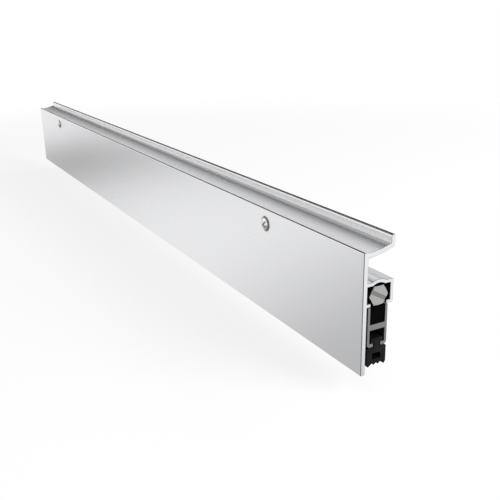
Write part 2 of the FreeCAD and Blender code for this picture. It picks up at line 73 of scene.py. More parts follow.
MM = 0.001
ARC_STEP = 0.22  # radians between the points of a rounding
SUPPORT = 0.08  # how far beyond a rounding the point lies that keeps its flat even
SAME = 1e-4  # points closer than this are one
SPAN = 20.0  # longest stretch between the rows of an extruded piece
CREASE = 28.0  # degrees over which an edge stays crisp
WHITE = (1.0, 1.0, 1.0, 1.0)
ALONG, INWARD, UP = (1, 0, 0), (0, 1, 0), (0, 0, 1)
BACKWARD, OUTWARD, DOWN = (-1, 0, 0), (0, -1, 0), (0, 0, -1)


class Slot(Enum):
    """The record's material slots."""

    ANODISED = "anodised_aluminium"
    MILL = "mill_aluminium"
    RUBBER = "black_rubber"
    NYLON = "black_nylon"
    ZINC = "zinc_steel"
    BRIGHT = "bright_steel"
    SPRING = "spring_steel"
    RIVET = "rivet_aluminium"


class End(Enum):
    """The two ends of the seal, as the sign of X."""

    NEAR = 1
    FAR = -1


class Skin(IntEnum):
    """Finish numbers of a sawn profile, in the order of its piece's finishes."""

    MAIN = 0
    SAWN = 1
    # The next four numbers carry painted shade: the end bevel, the narrow top edges, the plate's end edge and
    # the chamber.
    DEBURRED_PAINTED_SHADE = 2
    PAINTED_SHADE_TOP_EDGE = 3
    PAINTED_SHADE_END_EDGE = 4
    PAINTED_SHADE_CHAMBER = 5
    TRAY_EDGE = 6


class Head(IntEnum):
    """Finish numbers of a screw, in the order of its piece's finishes."""

    MAIN = 0
    # Both numbers after MAIN carry painted shade: the dark rim, ring and slot, and the head's darker lower
    # part.
    SHADED = 1
    PAINTED_SHADE_LOW = 2


# Outlines


@dataclass(frozen=True)
class Corner:
    """A corner of an outline, with the radius that rounds it."""

    u: float
    v: float
    radius: float = 0.0

    def ends(self) -> tuple[Point, Point]:
        """Where the outline enters and leaves."""
        return (self.u, self.v), (self.u, self.v)

    def points(self, before: Point, after: Point) -> Array:
        """The rounding's arc, with a point just beyond each end that has room for one.

        Args:
            before: The place that the outline comes from.
            after: The place that it goes to.

        Returns:
            Points in (u, v), one row each.
        """
        corner = np.array([self.u, self.v])
        if not self.radius:
            return corner[None, :]
        sides = np.array([before, after]) - corner
        rooms = np.linalg.norm(sides, axis=1)
        back, ahead = sides / rooms[:, None]
        half = math.acos(float(np.clip(back @ ahead, -1.0, 1.0))) / 2.0
        reach = self.radius / math.tan(half)
        centre = corner + (back + ahead) / np.linalg.norm(back + ahead) * self.radius / math.sin(half)
        start = corner + back * reach - centre
        sweep = math.pi - 2.0 * half
        side = -1.0 if back[0] * ahead[1] > back[1] * ahead[0] else 1.0
        turn = np.linspace(0.0, side * sweep, max(4, int(sweep / ARC_STEP) + 2))[:, None]
        rows = [centre + np.cos(turn) * start + np.sin(turn) * np.array([-start[1], start[0]])]
        hold = min(SUPPORT, 0.4 * self.radius)
        for last, way, room in ((0, back, rooms[0]), (1, ahead, rooms[1])):
            if room > reach + 3.0 * hold:
                rows.insert(last * len(rows), (corner + way * (reach + hold))[None, :])
        return np.concatenate(rows)


@dataclass(frozen=True)
class Arc:
    """An arc of an outline about a centre, between two angles in degrees."""

    u: float
    v: float
    radius: float
    start: float
    end: float
    count: int

    def ends(self) -> tuple[Point, Point]:
        """Where the outline enters and leaves."""
        rows = self.points()
        return tuple(rows[0]), tuple(rows[-1])

    def points(self, before: Point | None = None, after: Point | None = None) -> Array:
        """Points of the circle from the start angle to the end angle, whatever lies beside it."""
        angle = np.radians(np.linspace(self.start, self.end, self.count))
        return np.array([self.u, self.v]) + self.radius * np.stack([np.cos(angle), np.sin(angle)], axis=1)


def trace(steps: Sequence[Corner | Arc], closed: bool = True) -> Array:
    """The outline's points: each step's own points in order, joined by straight lines.

    Args:
        steps: Corners and arcs in order.
        closed: Whether the last step leads back to the first.

    Returns:
        Points in (u, v), one row each, with no point twice in a row.
    """
    rows = []
    for i, step in enumerate(steps):
        if not closed and i in (0, len(steps) - 1):
            rows.append(np.array([step.ends()[0]]))
        else:
            rows.append(step.points(steps[i - 1].ends()[1], steps[(i + 1) % len(steps)].ends()[0]))
    points = np.concatenate(rows)
    keep = np.linalg.norm(points - np.roll(points, 1, axis=0), axis=1) > SAME
    keep[0] |= not closed
    return points[keep]


def inset(ring: Array, amount: float) -> Array:
    """A closed outline moved towards its inside by an amount, each point along its mitre."""
    ahead = np.roll(ring, -1, axis=0) - ring
    ahead = ahead / np.linalg.norm(ahead, axis=1, keepdims=True)
    mitre = np.roll(ahead, 1, axis=0) + ahead
    mitre = mitre / np.maximum(np.linalg.norm(mitre, axis=1, keepdims=True), 1e-6)
    spread = np.maximum(np.sum(mitre * ahead, axis=1, keepdims=True), 0.45)
    area = float(np.sum(ring[:, 0] * np.roll(ring[:, 1], -1) - np.roll(ring[:, 0], -1) * ring[:, 1]))
    inward = np.stack([-mitre[:, 1], mitre[:, 0]], axis=1) * math.copysign(1.0, area)
    return ring + inward * amount / spread


def rectangle(width: float, low: float, high: float, middle: float, radius: float) -> Array:
    """A rectangle's outline with rounded corners, as wide as given about its middle."""
    corners = ((-0.5, low), (0.5, low), (0.5, high), (-0.5, high))
    return trace([Corner(middle + side * width, level, radius) for side, level in corners])


def bore(middle: float, radius: float) -> Array:
    """A round hollow's outline about the push screw's axis."""
    return trace([Arc(middle, 0.0, radius, 0.0, 350.0, 36)])


# Meshes


def circles(origin: Place, axis: Place, first: Place, length: Array, angle: Array, radius: Array) -> Array:
    """Places about an axis, from lengths along it, angles from a first direction, and radii."""
    forward = np.array(axis, float)
    spoke = np.cos(angle)[..., None] * first + np.sin(angle)[..., None] * np.cross(forward, first)
    return np.array(origin) + length[..., None] * forward + radius[..., None] * spoke


@dataclass(frozen=True)
class Thread:
    """A thread's sizes; steps are rows to a pitch, sides points around, and point a tip's length."""

    radius: float
    depth: float
    pitch: float
    fade: float
    steps: int
    sides: int
    point: float = 0.0


class Shell:
    """Gathers surfaces worked out as whole arrays and turns them into one mesh."""

    def __init__(self) -> None:
        """Starts empty."""
        self.parts: list[tuple[Array, Array, Array, Array]] = []
        self.count = 0

    def take(self, points: Array, faces: Array, finish: int | Array, smooth: bool) -> None:
        """Adds points and the faces that index them, with one finish number for all or one each."""
        points = points.reshape(-1, 3)
        marks = np.full(len(faces), finish, np.int32), np.full(len(faces), smooth, bool)
        self.parts.append((points, faces + self.count, *marks))
        self.count += len(points)

    def grid(self, points: Array, around: bool = False, finish: int | Array = 0, smooth: bool = True) -> None:
        """Adds a surface over a grid of points, joined to itself where it runs around."""
        index = np.arange(points.shape[0] * points.shape[1]).reshape(points.shape[:2])
        if around:
            index = np.concatenate([index, index[:, :1]], axis=1)
        corners = [index[:-1, :-1], index[:-1, 1:], index[1:, 1:], index[1:, :-1]]
        self.take(points, np.stack(corners, axis=-1).reshape(-1, 4), finish, smooth)

    def cap(self, rings: Sequence[Array], finish: int = 0) -> None:
        """Adds a flat end in triangles; the first ring is its outline, the others are holes."""
        triangles = tessellate_polygon([ring.tolist() for ring in rings])
        self.take(np.concatenate(rings), np.array(triangles, int), finish, False)

    def extrude(
        self, rings: Sequence[Array], x0: float, x1: float, edge: float, end: int = 0, rim: int = 0
    ) -> None:
        """Carries outlines in (y, z) along X; near each end they draw in by a quarter circle.

        The first outline is the body's and the others are hollows, which widen there instead.

        Args:
            rings: Outline and hollows.
            x0: Low end.
            x1: High end.
            edge: Radius that rounds the rim of both ends.
            end: Finish number of the two ends.
            rim: Finish number of the rounded rims.
        """
        turn = np.linspace(0.0, math.pi / 2.0, 4)
        out, draw = edge * (1.0 - np.cos(turn)), edge * (1.0 - np.sin(turn))
        middle = np.linspace(x0 + edge, x1 - edge, max(2, int((x1 - x0) / SPAN)))
        middle[[0, -1]] += np.array([2.0, -2.0]) * edge
        places = np.concatenate([x0 + out, middle, (x1 - out)[::-1]])
        draws = np.concatenate([draw, 0.0 * middle, draw[::-1]])
        bodies = []
        for number, ring in enumerate(rings):
            way = (inset(ring, 1.0) - ring) * (-1.0 if number else 1.0)
            plane = ring + way * draws[:, None, None]
            along = np.broadcast_to(places[:, None, None], plane.shape[:2] + (1,))
            body = np.concatenate([along, plane], axis=2)
            for rows, finish in ((body[:4], rim), (body[3:-3], 0), (body[-4:], rim)):
                self.grid(rows, around=True, finish=finish)
            bodies.append(body)
        self.cap([body[0] for body in bodies], end)
        self.cap([body[-1] for body in bodies], end)

    def turned(
        self, steps: Sequence[Sequence[float]], start: Place, axis: Place, sides: int, finish: int = 0
    ) -> None:
        """Turns a profile about an axis: each of its points becomes a circle.

        Args:
            steps: (distance along, radius) of each corner, and its rounding if it has one.
            start: Where the axis starts.
            axis: Unit vector along it.
            sides: How many points each circle has.
            finish: Finish number.
        """
        profile = trace([Corner(*step) for step in steps], closed=False)
        angle = np.linspace(0.0, 2.0 * math.pi, sides, endpoint=False)[None, :]
        first = np.cross(axis, ALONG if axis[2] else UP)
        rows = circles(start, axis, first, profile[:, :1], angle, profile[:, 1:])
        self.grid(rows, around=True, finish=finish)

    def threaded(self, thread: Thread, start: float, end: float, origin: Place, axis: Place) -> None:
        """Adds a thread about an axis.

        The radius is the outer one less the depth times a trapezium wave of (length / pitch - turn),
        and the wave fades to the core over a short length at each end. A pointed thread narrows to
        its end by the root of what is left of the point; another one has a flat start.

        Args:
            thread: Its sizes.
            start: Where it starts along the axis.
            end: Where it ends.
            origin: Where the axis starts.
            axis: Unit vector along it.
        """
        rows = max(4, int((end - start) / thread.pitch * thread.steps))
        length = np.linspace(start, end, rows)[:, None]
        angle = np.linspace(0.0, 2.0 * math.pi, thread.sides, endpoint=False)[None, :]
        phase = (length / thread.pitch - angle / (2.0 * math.pi)) % 1.0
        crest = np.clip(1.6 - 2.6 * np.abs(2.0 * phase - 1.0), 0.0, 1.0)
        near = np.clip(np.minimum(length - start, end - length) / thread.fade, 0.0, 1.0)
        radius = thread.radius - thread.depth * (1.0 - crest * near)
        if thread.point:
            left = np.clip((end - length) / thread.point, 0.0, 1.0)
            radius = radius * np.sqrt(left) * (0.25 + 0.75 * left)
        else:
            length, radius = np.concatenate([length[:1], length]), np.concatenate([0.0 * radius[:1], radius])
        self.grid(circles(origin, axis, UP, length, angle, radius), around=True)

    def mesh(self, name: str, sharp: float = CREASE) -> bpy.types.Mesh:
        """The mesh in metres, with doubled points merged and its faces turned outwards.

        Args:
            name: The mesh's name.
            sharp: Edges that turn by more than this, in degrees, stay crisp.

        Returns:
            The finished mesh.
        """
        points, faces, finishes, smooth = zip(*self.parts)
        sizes = np.concatenate([np.full(len(part), part.shape[1], np.int32) for part in faces])
        corners = np.concatenate([part.ravel() for part in faces]).astype(np.int32)
        mesh = bpy.data.meshes.new(name)
        mesh.vertices.add(self.count)
        mesh.vertices.foreach_set("co", (np.concatenate(points) * MM).astype(np.float32).ravel())
        mesh.loops.add(len(corners))
        mesh.loops.foreach_set("vertex_index", corners)
        mesh.polygons.add(len(sizes))
        mesh.polygons.foreach_set("loop_start", (np.cumsum(sizes) - sizes).astype(np.int32))
        mesh.polygons.foreach_set("material_index", np.concatenate(finishes))
        mesh.polygons.foreach_set("use_smooth", np.concatenate(smooth))
        mesh.update(calc_edges=True)
        work = bmesh.new()
        work.from_mesh(mesh)
        bmesh.ops.remove_doubles(work, verts=work.verts, dist=2e-7)
        bmesh.ops.dissolve_degenerate(work, edges=work.edges, dist=1e-8)
        bmesh.ops.recalc_face_normals(work, faces=work.faces)
        work.to_mesh(mesh)
        work.free()
        mesh.validate()
        mesh.set_sharp_from_angle(angle=math.radians(sharp))
        return mesh


# Materials


class Wire:
    """A number socket that takes part in arithmetic; each operator adds its Math node."""

    def __init__(self, sheet: "NodeSheet", socket: Socket) -> None:
        """Keeps the socket and the sheet that it is on."""
        self.sheet = sheet
        self.socket = socket

    def __add__(self, other: "Wire | float") -> "Wire":
        """Sum."""
        return self.sheet.math("ADD", self, other)

    def __sub__(self, other: "Wire | float") -> "Wire":
        """Difference."""
        return self.sheet.math("SUBTRACT", self, other)

    def __rsub__(self, other: float) -> "Wire":
        """Difference."""
        return self.sheet.math("SUBTRACT", other, self)

    def __mul__(self, other: "Wire | float") -> "Wire":
        """Product."""
        return self.sheet.math("MULTIPLY", self, other)

    __radd__ = __add__

    def between(self, low: float, high: float) -> "Wire":
        """0 below low, 1 above high, and a soft step in between."""
        inputs = {"Value": self, "From Min": low, "From Max": high}
        return Wire(self.sheet, self.sheet.socket("MapRange", inputs, interpolation_type="SMOOTHSTEP"))


class NodeSheet:
    """A node tree, with one method that adds any node."""

    def __init__(self, tree: bpy.types.NodeTree) -> None:
        """Clears the tree."""
        self.tree = tree
        tree.nodes.clear()

    def node(self, kind: str, inputs: Inputs | None = None, **settings: object) -> bpy.types.Node:
        """Adds a node, sets it, and then fills or links its sockets.

        Args:
            kind: The node's type, without its first words.
            inputs: Value, socket or wire for each socket, by name or number.
            settings: The node's own settings.

        Returns:
            The node.
        """
        made = self.tree.nodes.new("ShaderNode" + kind)
        for name, value in settings.items():
            setattr(made, name, value)
        for name, value in (inputs or {}).items():
            source = value.socket if isinstance(value, Wire) else value
            if isinstance(source, Socket):
                self.tree.links.new(source, made.inputs[name])
            else:
                made.inputs[name].default_value = source
        return made

    def socket(self, kind: str, inputs: Inputs, out: str | int = 0, **settings: object) -> Socket:
        """An output of a new node."""
        return self.node(kind, inputs, **settings).outputs[out]

    def wires(self, names: Sequence[str], kind: str, inputs: Inputs | None = None) -> list[Wire]:
        """Several outputs of a new node."""
        made = self.node(kind, inputs)
        return [Wire(self, made.outputs[name]) for name in names]

    def math(self, operation: str, *values: Wire | float) -> Wire:
        """The result of a Math node on the values."""
        return Wire(self, self.socket("Math", dict(enumerate(values)), operation=operation))

    def length(self, place: Socket) -> Wire:
        """A vector's length."""
        return Wire(self, self.socket("VectorMath", {0: place}, "Value", operation="LENGTH"))

    def place(self, scale: Place, location: Place = (0.0, 0.0, 0.0)) -> Socket:
        """Object coordinates in metres, stretched by a factor on each axis and then moved."""
        coordinates = self.node("TexCoord").outputs["Object"]
        return self.socket("Mapping", {"Vector": coordinates, "Scale": scale, "Location": location})

    def noise(self, scale: Place, detail: float = 2.0, roughness: float = 0.5, seed: float = 0.0) -> Wire:
        """Noise with that many grains to the metre on each axis."""
        place = self.place(scale, (seed, seed * 0.7, seed * 1.3))
        inputs = {"Vector": place, "Scale": 1.0, "Detail": detail, "Roughness": roughness}
        return Wire(self, self.socket("TexNoise", inputs))

    def tints(self, factor: Wire, colour: Colour, dark: float, light: float) -> Socket:
        """A mix of a colour made darker and the same made lighter."""
        first, second = ((*(part * times for part in colour), 1.0) for times in (dark, light))
        inputs = {0: factor, 6: first, 7: second}
        return self.socket("Mix", inputs, 2, data_type="RGBA", clamp_factor=True)

    def bump(self, height: Wire, strength: float, distance: float) -> Socket:
        """A normal from a height, with the distance in millimetres."""
        return self.socket("Bump", {"Height": height, "Strength": strength, "Distance": distance * MM})

    def light(self, kind: str, strength: Wire | float) -> Socket:
        """White light."""
        return self.socket(kind, {"Color": WHITE, "Strength": strength})

    def mix(self, factor: Wire, plain: Socket, other: Socket) -> Socket:
        """A mix of two shaders."""
        return self.socket("MixShader", {0: factor, 1: plain, 2: other})


def new_material(name: str) -> tuple[bpy.types.Material, NodeSheet]:
    """A new material and its empty sheet."""
    made = bpy.data.materials.new(name)
    made.use_nodes = True
    return made, NodeSheet(made.node_tree)


@dataclass(frozen=True)
class Finish:
    """A finish: its name, its record slot and its mean colour."""

    name: str
    slot: Slot
    colour: Colour
    roughness: float = 0.4

    def material(self) -> bpy.types.Material:
        """The finish's material, made the first time that it is asked for."""
        title = self.name + "_finish"
        if title in bpy.data.materials:
            return bpy.data.materials[title]
        made, sheet = new_material(title)
        made.diffuse_color = (*self.colour, 1.0)
        self.draw(sheet)
        return made

    def draw(self, sheet: NodeSheet) -> None:
        """Draws the finish's nodes."""
        raise NotImplementedError

    def coat(self, tone: Wire, tints: Point, dull: Wire, normal: Socket, rest: Inputs) -> None:
        """Ends the nodes in a shader.

        Args:
            tone: How light the surface is, from 0 to 1.
            tints: What the colour is multiplied by at 0 and at 1.
            dull: What is added to the roughness.
            normal: The bumped normal.
            rest: Values of the shader's other sockets.
        """
        sheet = tone.sheet
        colour = sheet.tints(tone, self.colour, *tints)
        inputs = {"Base Color": colour, "Roughness": dull + self.roughness, "Normal": normal, **rest}
        sheet.node("OutputMaterial", {"Surface": sheet.socket("BsdfPrincipled", inputs)})


@dataclass(frozen=True)
class DrawnMetal(Finish):
    """Extruded or drawn metal: fine lines along X from the die, and soft clouds in its tone."""

    line_depth: float = 0.004
    line_spread: float = 0.05
    cloud_spread: float = 0.03
    unevenness: float = 1.0
    metallic: float = 1.0
    specular: float = 0.5

    def draw(self, sheet: NodeSheet) -> None:
        """Draws lines from noise that is long along the part, clouds from wide noise, and a bump."""
        lines = sheet.noise((5.0, 900.0, 900.0), 3.0, 0.6)
        hair = sheet.noise((15.0, 3600.0, 3600.0), seed=3.1)
        cloud = sheet.noise((9.0, 22.0, 22.0), seed=7.7)
        spots = sheet.noise((900.0, 900.0, 900.0), 2.0, 0.6, seed=1.9)
        tone = (lines - 0.5) * self.line_spread * 5.0 + (cloud - 0.5) * self.cloud_spread * 16.0 + 0.5
        tone = tone + (spots - 0.5) * 0.10 * self.unevenness
        dull = ((hair - 0.5) * 0.08 + (cloud - 0.5) * 0.06) * self.unevenness
        normal = sheet.bump(lines * 0.6 + hair * 0.4, 0.2, self.line_depth)
        rest = {"Metallic": self.metallic, "Specular IOR Level": self.specular}
        self.coat(tone, (0.94, 1.05), dull, normal, rest)


@dataclass(frozen=True)
class SawnMetal(Finish):
    """A sawn end: arcs that the saw blade left, and bright burnished streaks between them."""

    blade_y: float = 60.0
    blade_z: float = -140.0
    mark_pitch: float = 0.45

    def draw(self, sheet: NodeSheet) -> None:
        """Draws waves of the distance to the blade's axis, broken up by noise."""
        reach = sheet.length(sheet.place((0.0, 1.0, 1.0), (0.0, -self.blade_y * MM, -self.blade_z * MM)))
        wander = sheet.noise((0.0, 260.0, 260.0))
        marks = sheet.math("SINE", reach * (2.0 * math.pi / (self.mark_pitch * MM)) + wander * 9.0)
        grit = sheet.noise((2600.0, 2600.0, 2600.0), 2.0, 0.6, seed=4.2)
        tone = marks * 0.18 + (grit - 0.5) * 0.6 + 0.5
        normal = sheet.bump(marks * 0.5 + grit, 0.3, 0.006)
        self.coat(tone, (0.95, 1.03), (grit - 0.5) * 0.16, normal, {"Metallic": 1.0})


@dataclass(frozen=True)
class TurnedMetal(Finish):
    """Small turned or pressed metal: mottled plating, fine scratches and a faint grain."""

    mottle: float = 0.08

    def draw(self, sheet: NodeSheet) -> None:
        """Draws mottling, scratches and grain as noises at three sizes."""
        patches = sheet.noise((700.0, 700.0, 700.0), 3.0, 0.55)
        grain = sheet.noise((5200.0, 5200.0, 5200.0), 2.0, 0.6, seed=2.4)
        worn = sheet.noise((400.0, 6500.0, 900.0), 2.0, 0.6, seed=8.8).between(0.60, 0.68)
        tone = (patches - 0.5) * self.mottle * 10.0 + worn * 0.35 + 0.45
        dull = (patches - 0.5) * 0.14 + (grain - 0.5) * 0.10
        self.coat(tone, (0.88, 1.08), dull, sheet.bump(grain + worn * 0.5, 0.25, 0.006), {"Metallic": 1.0})


@dataclass(frozen=True)
class ExtrudedRubber(Finish):
    """Black sealing rubber: matt, with faint drag lines along X, a bloom and dust in places."""

    def draw(self, sheet: NodeSheet) -> None:
        """Draws drag lines, bloom patches and a pebbled skin."""
        drag = sheet.noise((7.0, 1400.0, 1400.0), 3.0, 0.6)
        skin = sheet.noise((4200.0, 4200.0, 4200.0), 3.0, 0.6, seed=5.5)
        bloom = sheet.noise((60.0, 160.0, 160.0), 3.0, 0.6, seed=9.1)
        tone = bloom.between(0.42, 0.72) * 0.7 + (drag - 0.5) * 0.8 + 0.15
        dull = (skin - 0.5) * 0.2 + (drag - 0.5) * 0.12
        normal = sheet.bump(skin * 0.6 + drag * 0.7, 0.3, 0.012)
        self.coat(tone, (0.8, 1.7), dull, normal, {"Specular IOR Level": 0.14})


@dataclass(frozen=True)
class MouldedNylon(Finish):
    """Black moulded nylon: an even fine grain with smoother, slightly shinier patches."""

    def draw(self, sheet: NodeSheet) -> None:
        """Draws the mould's grain and slow flow patches."""
        grain = sheet.noise((5000.0, 5000.0, 5000.0), 3.0, 0.65)
        flow = sheet.noise((180.0, 320.0, 320.0), seed=6.3)
        dull = (grain - 0.5) * 0.2 + (0.5 - flow) * 0.2
        normal = sheet.bump(grain, 0.35, 0.012)
        self.coat(flow.between(0.3, 0.75), (0.8, 1.6), dull, normal, {"Specular IOR Level": 0.02})


ANODISED = DrawnMetal(
    "satin_anodised", Slot.ANODISED, (0.842, 0.845, 0.86), 0.27,
    line_depth=0.0005, line_spread=0.013, cloud_spread=0.01, unevenness=0.3,
)
PALE_EDGE = DrawnMetal("pale_tray_edge", Slot.ANODISED, (0.78, 0.79, 0.80), 0.5, metallic=0.0, specular=0.3)
# Painted shade: the chamber's inner walls are painted near black.
PAINTED_SHADE_CHAMBER = DrawnMetal("painted_shade_chamber", Slot.ANODISED, (0.05, 0.05, 0.052), 0.5)
SAWN_BRIGHT = SawnMetal("sawn_aluminium", Slot.ANODISED, (0.93, 0.94, 0.955), 0.42)
# Painted shade: the deburred end bevel is painted darker than the profile.
DEBURRED_PAINTED_SHADE = DrawnMetal("deburred_edge_painted_shade", Slot.ANODISED, (0.55, 0.56, 0.57))
# Painted shade: a near-black line on the narrow top edges of the plate and the upstand.
PAINTED_SHADE_TOP_EDGE = DrawnMetal("shaded_top_edge", Slot.ANODISED, (0.02, 0.02, 0.021), metallic=0.0, specular=0.0)
# Painted shade: the plate's end edge is painted dark.
PAINTED_SHADE_END_EDGE = DrawnMetal("painted_shade_plate_end_edge", Slot.ANODISED, (0.24, 0.24, 0.245))
MILL = DrawnMetal("mill_aluminium", Slot.MILL, (0.30, 0.30, 0.305), 0.45, line_depth=0.008)
SAWN_MILL = SawnMetal("sawn_mill", Slot.MILL, (0.32, 0.32, 0.325), 0.5)
RUBBER = ExtrudedRubber("black_rubber", Slot.RUBBER, (0.0062, 0.0062, 0.0066), 0.6)
NYLON = MouldedNylon("black_nylon", Slot.NYLON, (0.0015, 0.0015, 0.0015), 0.5)
ZINC = TurnedMetal("zinc_plated", Slot.ZINC, (0.56, 0.57, 0.58), 0.34)
BRIGHT = TurnedMetal("bright_steel", Slot.BRIGHT, (0.90, 0.90, 0.89), 0.18, mottle=0.03)
# Painted shade: the dark band round the screw's dome and the flat ring round it.
SHADED = TurnedMetal("painted_shade_rim", Slot.BRIGHT, (0.20, 0.20, 0.20), 0.3, mottle=0.03)
# Painted shade: the lower part of the screw head.
PAINTED_SHADE_LOW = TurnedMetal("painted_shade_head", Slot.BRIGHT, (0.50, 0.50, 0.495), 0.3, mottle=0.03)
HEX_STEEL = TurnedMetal("hex_steel", Slot.ZINC, (0.515, 0.515, 0.51), 0.42, mottle=0.03)
# Painted shade: the hex head's slot.
SHADED_SLOT_STEEL = TurnedMetal("shaded_slot_steel", Slot.ZINC, (0.32, 0.32, 0.315), 0.5, mottle=0.05)
SPRING = DrawnMetal("blued_spring", Slot.SPRING, (0.30, 0.32, 0.36), 0.3, line_depth=0.006, cloud_spread=0.08)
RIVET = TurnedMetal("rivet_aluminium", Slot.RIVET, (0.60, 0.61, 0.62), 0.35)
RIVET_STEEL = TurnedMetal("rivet_steel", Slot.BRIGHT, (0.55, 0.55, 0.54), 0.32)


def add(name: str, data: bpy.types.ID) -> bpy.types.Object:
    """A new object in the scene."""
    made = bpy.data.objects.new(name, data)
    bpy.context.scene.collection.objects.link(made)
    return made


def piece(
    name: str, shell: Shell, finishes: Sequence[Finish], node: str, body: str | None, sharp: float = CREASE
) -> bpy.types.Object:
    """Makes a shell into a finished piece that rides on a body and stands for a CAD node.

    Args:
        name: The piece's name.
        shell: Its surfaces, in place.
        finishes: One finish for each finish number of the shell.
        node: The CAD node that it stands for; empty if another piece stands for it.
        sharp: Edges that turn by more than this, in degrees, stay crisp.

    Returns:
        The object.
    """
    made = add(name, shell.mesh(name, sharp))
    for finish in finishes:
        made.data.materials.append(finish.material())
    if body:
        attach(made, body)
    if node:
        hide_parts(node)
    log.info("%s: %d faces on %s", name, len(made.data.polygons), body or "a bend")
    return made


def node_box(node: str) -> Array:
    """A CAD node's lowest and highest corner in millimetres."""
    low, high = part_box(node)
    return np.array([low, high]) / MM


def middle_x(node: str) -> float:
    """A CAD node's middle along X."""
    return float(node_box(node)[:, 0].mean())


# Sub-assemblies


@dataclass
class Housing:
    """The aluminium profile, its fixing screws, and what is riveted inside it."""

    front: float = -12.8
    plate: float = 1.8
    wall: float = 1.3
    half_length: float = 230.0
    plate_bottom: float = -28.9
    plate_top: float = 16.1
    upstand_top: float = 20.45
    ceiling_under: float = 3.73
    ceiling: float = 1.4
    arch: float = 4.5
    lip_top: float = -2.4
    lip: float = 1.3
    lip_slot: float = 6.6
    tray_radius: float = 42.0
    tray: float = 1.7
    tray_low: float = 15.35
    tray_low_ahead: float = 2.1
    upstand: float = 1.55
    foot_radius: float = 0.8
    rim: float = 0.95
    outer_corner: float = 0.8
    inner_corner: float = 0.1
    edge: float = 0.3
    arris: float = 0.55
    sawn_edge: float = 0.22
    top_band: float = 0.27
    shaded_rim: float = 0.45
    past_shade: float = 0.15
    valley_gap: float = 0.25
    valley_radius: float = 0.2
    back_corner: float = 0.15
    tip_radius: float = 0.8
    shaded_upstand: float = 0.92
    screw_x: float = 165.5
    screw_z: float = 9.9
    screw_thread: Thread = Thread(1.75, 0.5, 1.34, 0.9, 10, 64, 4.0)
    screw_length: float = 25.0
    head_radius: float = 3.55
    head_rim: float = 0.12
    dome: float = 1.2
    dome_radius: float = 3.0
    # The flat ring out to this radius is painted dark, a painted shadow gap.
    shadow_ring_radius: float = 3.2
    recess_width: float = 0.9
    recess_length: float = 3.4
    recess_depth: float = 1.6
    slope_share: float = 0.62
    wall_slope: float = 9.0
    floor_radius: float = 0.85
    floor_slope: float = 6.0
    near_turn: float = 45.0
    far_turn: float = -24.0
    shank_step: float = 0.7
    # Below this height the head is painted darker, a painted shade.
    painted_shade_below: float = -0.3
    hole_gap: float = 0.07
    drill_past: float = 0.3
    rim_share: float = 0.78
    rivet_radius: float = 1.2
    rivet_head_radius: float = 2.1
    rivet_head: float = 0.9
    rivet_gap: float = 0.03
    rivet_hold: float = 1.6
    guide_length: float = 17.0
    tongue_width: float = 6.1
    tongue_top: float = -4.15
    tongue_sunk: float = 1.0
    guide_corner: float = 0.2
    guide_gap: float = 0.1
    bore_radius: float = 2.1
    block_edge: float = 0.3
    block_corner: float = 0.25
    neck_corner: float = 0.15
    apart: float = 0.02
    axis_y: float = field(init=False)

    def __post_init__(self) -> None:
        """Works out the push screw's depth, midway in the chamber."""
        self.axis_y = (self.front + self.plate - self.wall) / 2.0

    def tray_arc(self, radius: float, y0: float, y1: float) -> Arc:
        """The tray's upper or lower arc between two depths."""
        centre_y = self.front - self.tray_low_ahead
        angles = [-90.0 + math.degrees(math.asin((y - centre_y) / radius)) for y in (y0, y1)]
        return Arc(centre_y, self.tray_low + self.tray_radius, radius, *angles, 34)

    def arch_arc(self, radius: float, height: float, forwards: bool) -> Arc:
        """The arch over the push screw, from one flat of the ceiling to the other."""
        lift = math.degrees(math.asin(height / radius))
        angles = (lift, 180.0 - lift) if forwards else (180.0 - lift, lift)
        return Arc(self.axis_y, 0.0, radius, *angles, 30)

    def section(self) -> list[Corner | Arc]:
        """The profile's section: front plate, sloping tray, upstand, and the box with its lips."""
        back, inside = self.front + self.plate, self.inner_corner
        foot_arc = self.tray_arc(self.tray_radius + self.tray, -self.foot_radius, back)
        foot_z = foot_arc.ends()[0][1] + self.foot_radius
        tray_end = self.tray_arc(self.tray_radius, back, -self.upstand).ends()[1][1]
        ceiling_top = self.ceiling_under + self.ceiling
        lip_under = self.lip_top - self.lip
        slot = (self.axis_y - self.lip_slot / 2.0, self.axis_y + self.lip_slot / 2.0)
        return [
            Corner(self.front, self.plate_bottom, self.edge),
            Corner(self.front, self.plate_top, self.arris),
            Corner(self.front + self.shaded_rim + self.past_shade, self.plate_top),
            Corner(self.front + self.rim, self.plate_top, self.edge),
            self.tray_arc(self.tray_radius, back, -self.upstand - self.valley_gap),
            Corner(-self.upstand, tray_end, self.valley_radius),
            Corner(-self.upstand, self.upstand_top, self.tip_radius),
            Corner(0.0, self.upstand_top, 0.5 * self.edge),
            Arc(-self.foot_radius, foot_z, self.foot_radius, 0.0, -90.0, 10),
            foot_arc,
            Corner(back, ceiling_top, self.back_corner),
            self.arch_arc(self.arch + self.ceiling, ceiling_top, False),
            Corner(0.0, ceiling_top, self.outer_corner),
            Corner(0.0, lip_under, self.outer_corner),
            Corner(slot[1], lip_under, self.edge),
            Corner(slot[1], self.lip_top, self.edge),
            Corner(-self.wall, self.lip_top, inside),
            Corner(-self.wall, self.ceiling_under, inside),
            self.arch_arc(self.arch, self.ceiling_under, True),
            Corner(back, self.ceiling_under, inside),
            Corner(back, self.lip_top, inside),
            Corner(slot[0], self.lip_top, self.edge),
            Corner(slot[0], lip_under, self.edge),
            Corner(back, lip_under, inside),
            Corner(back, self.plate_bottom, self.edge),
        ]

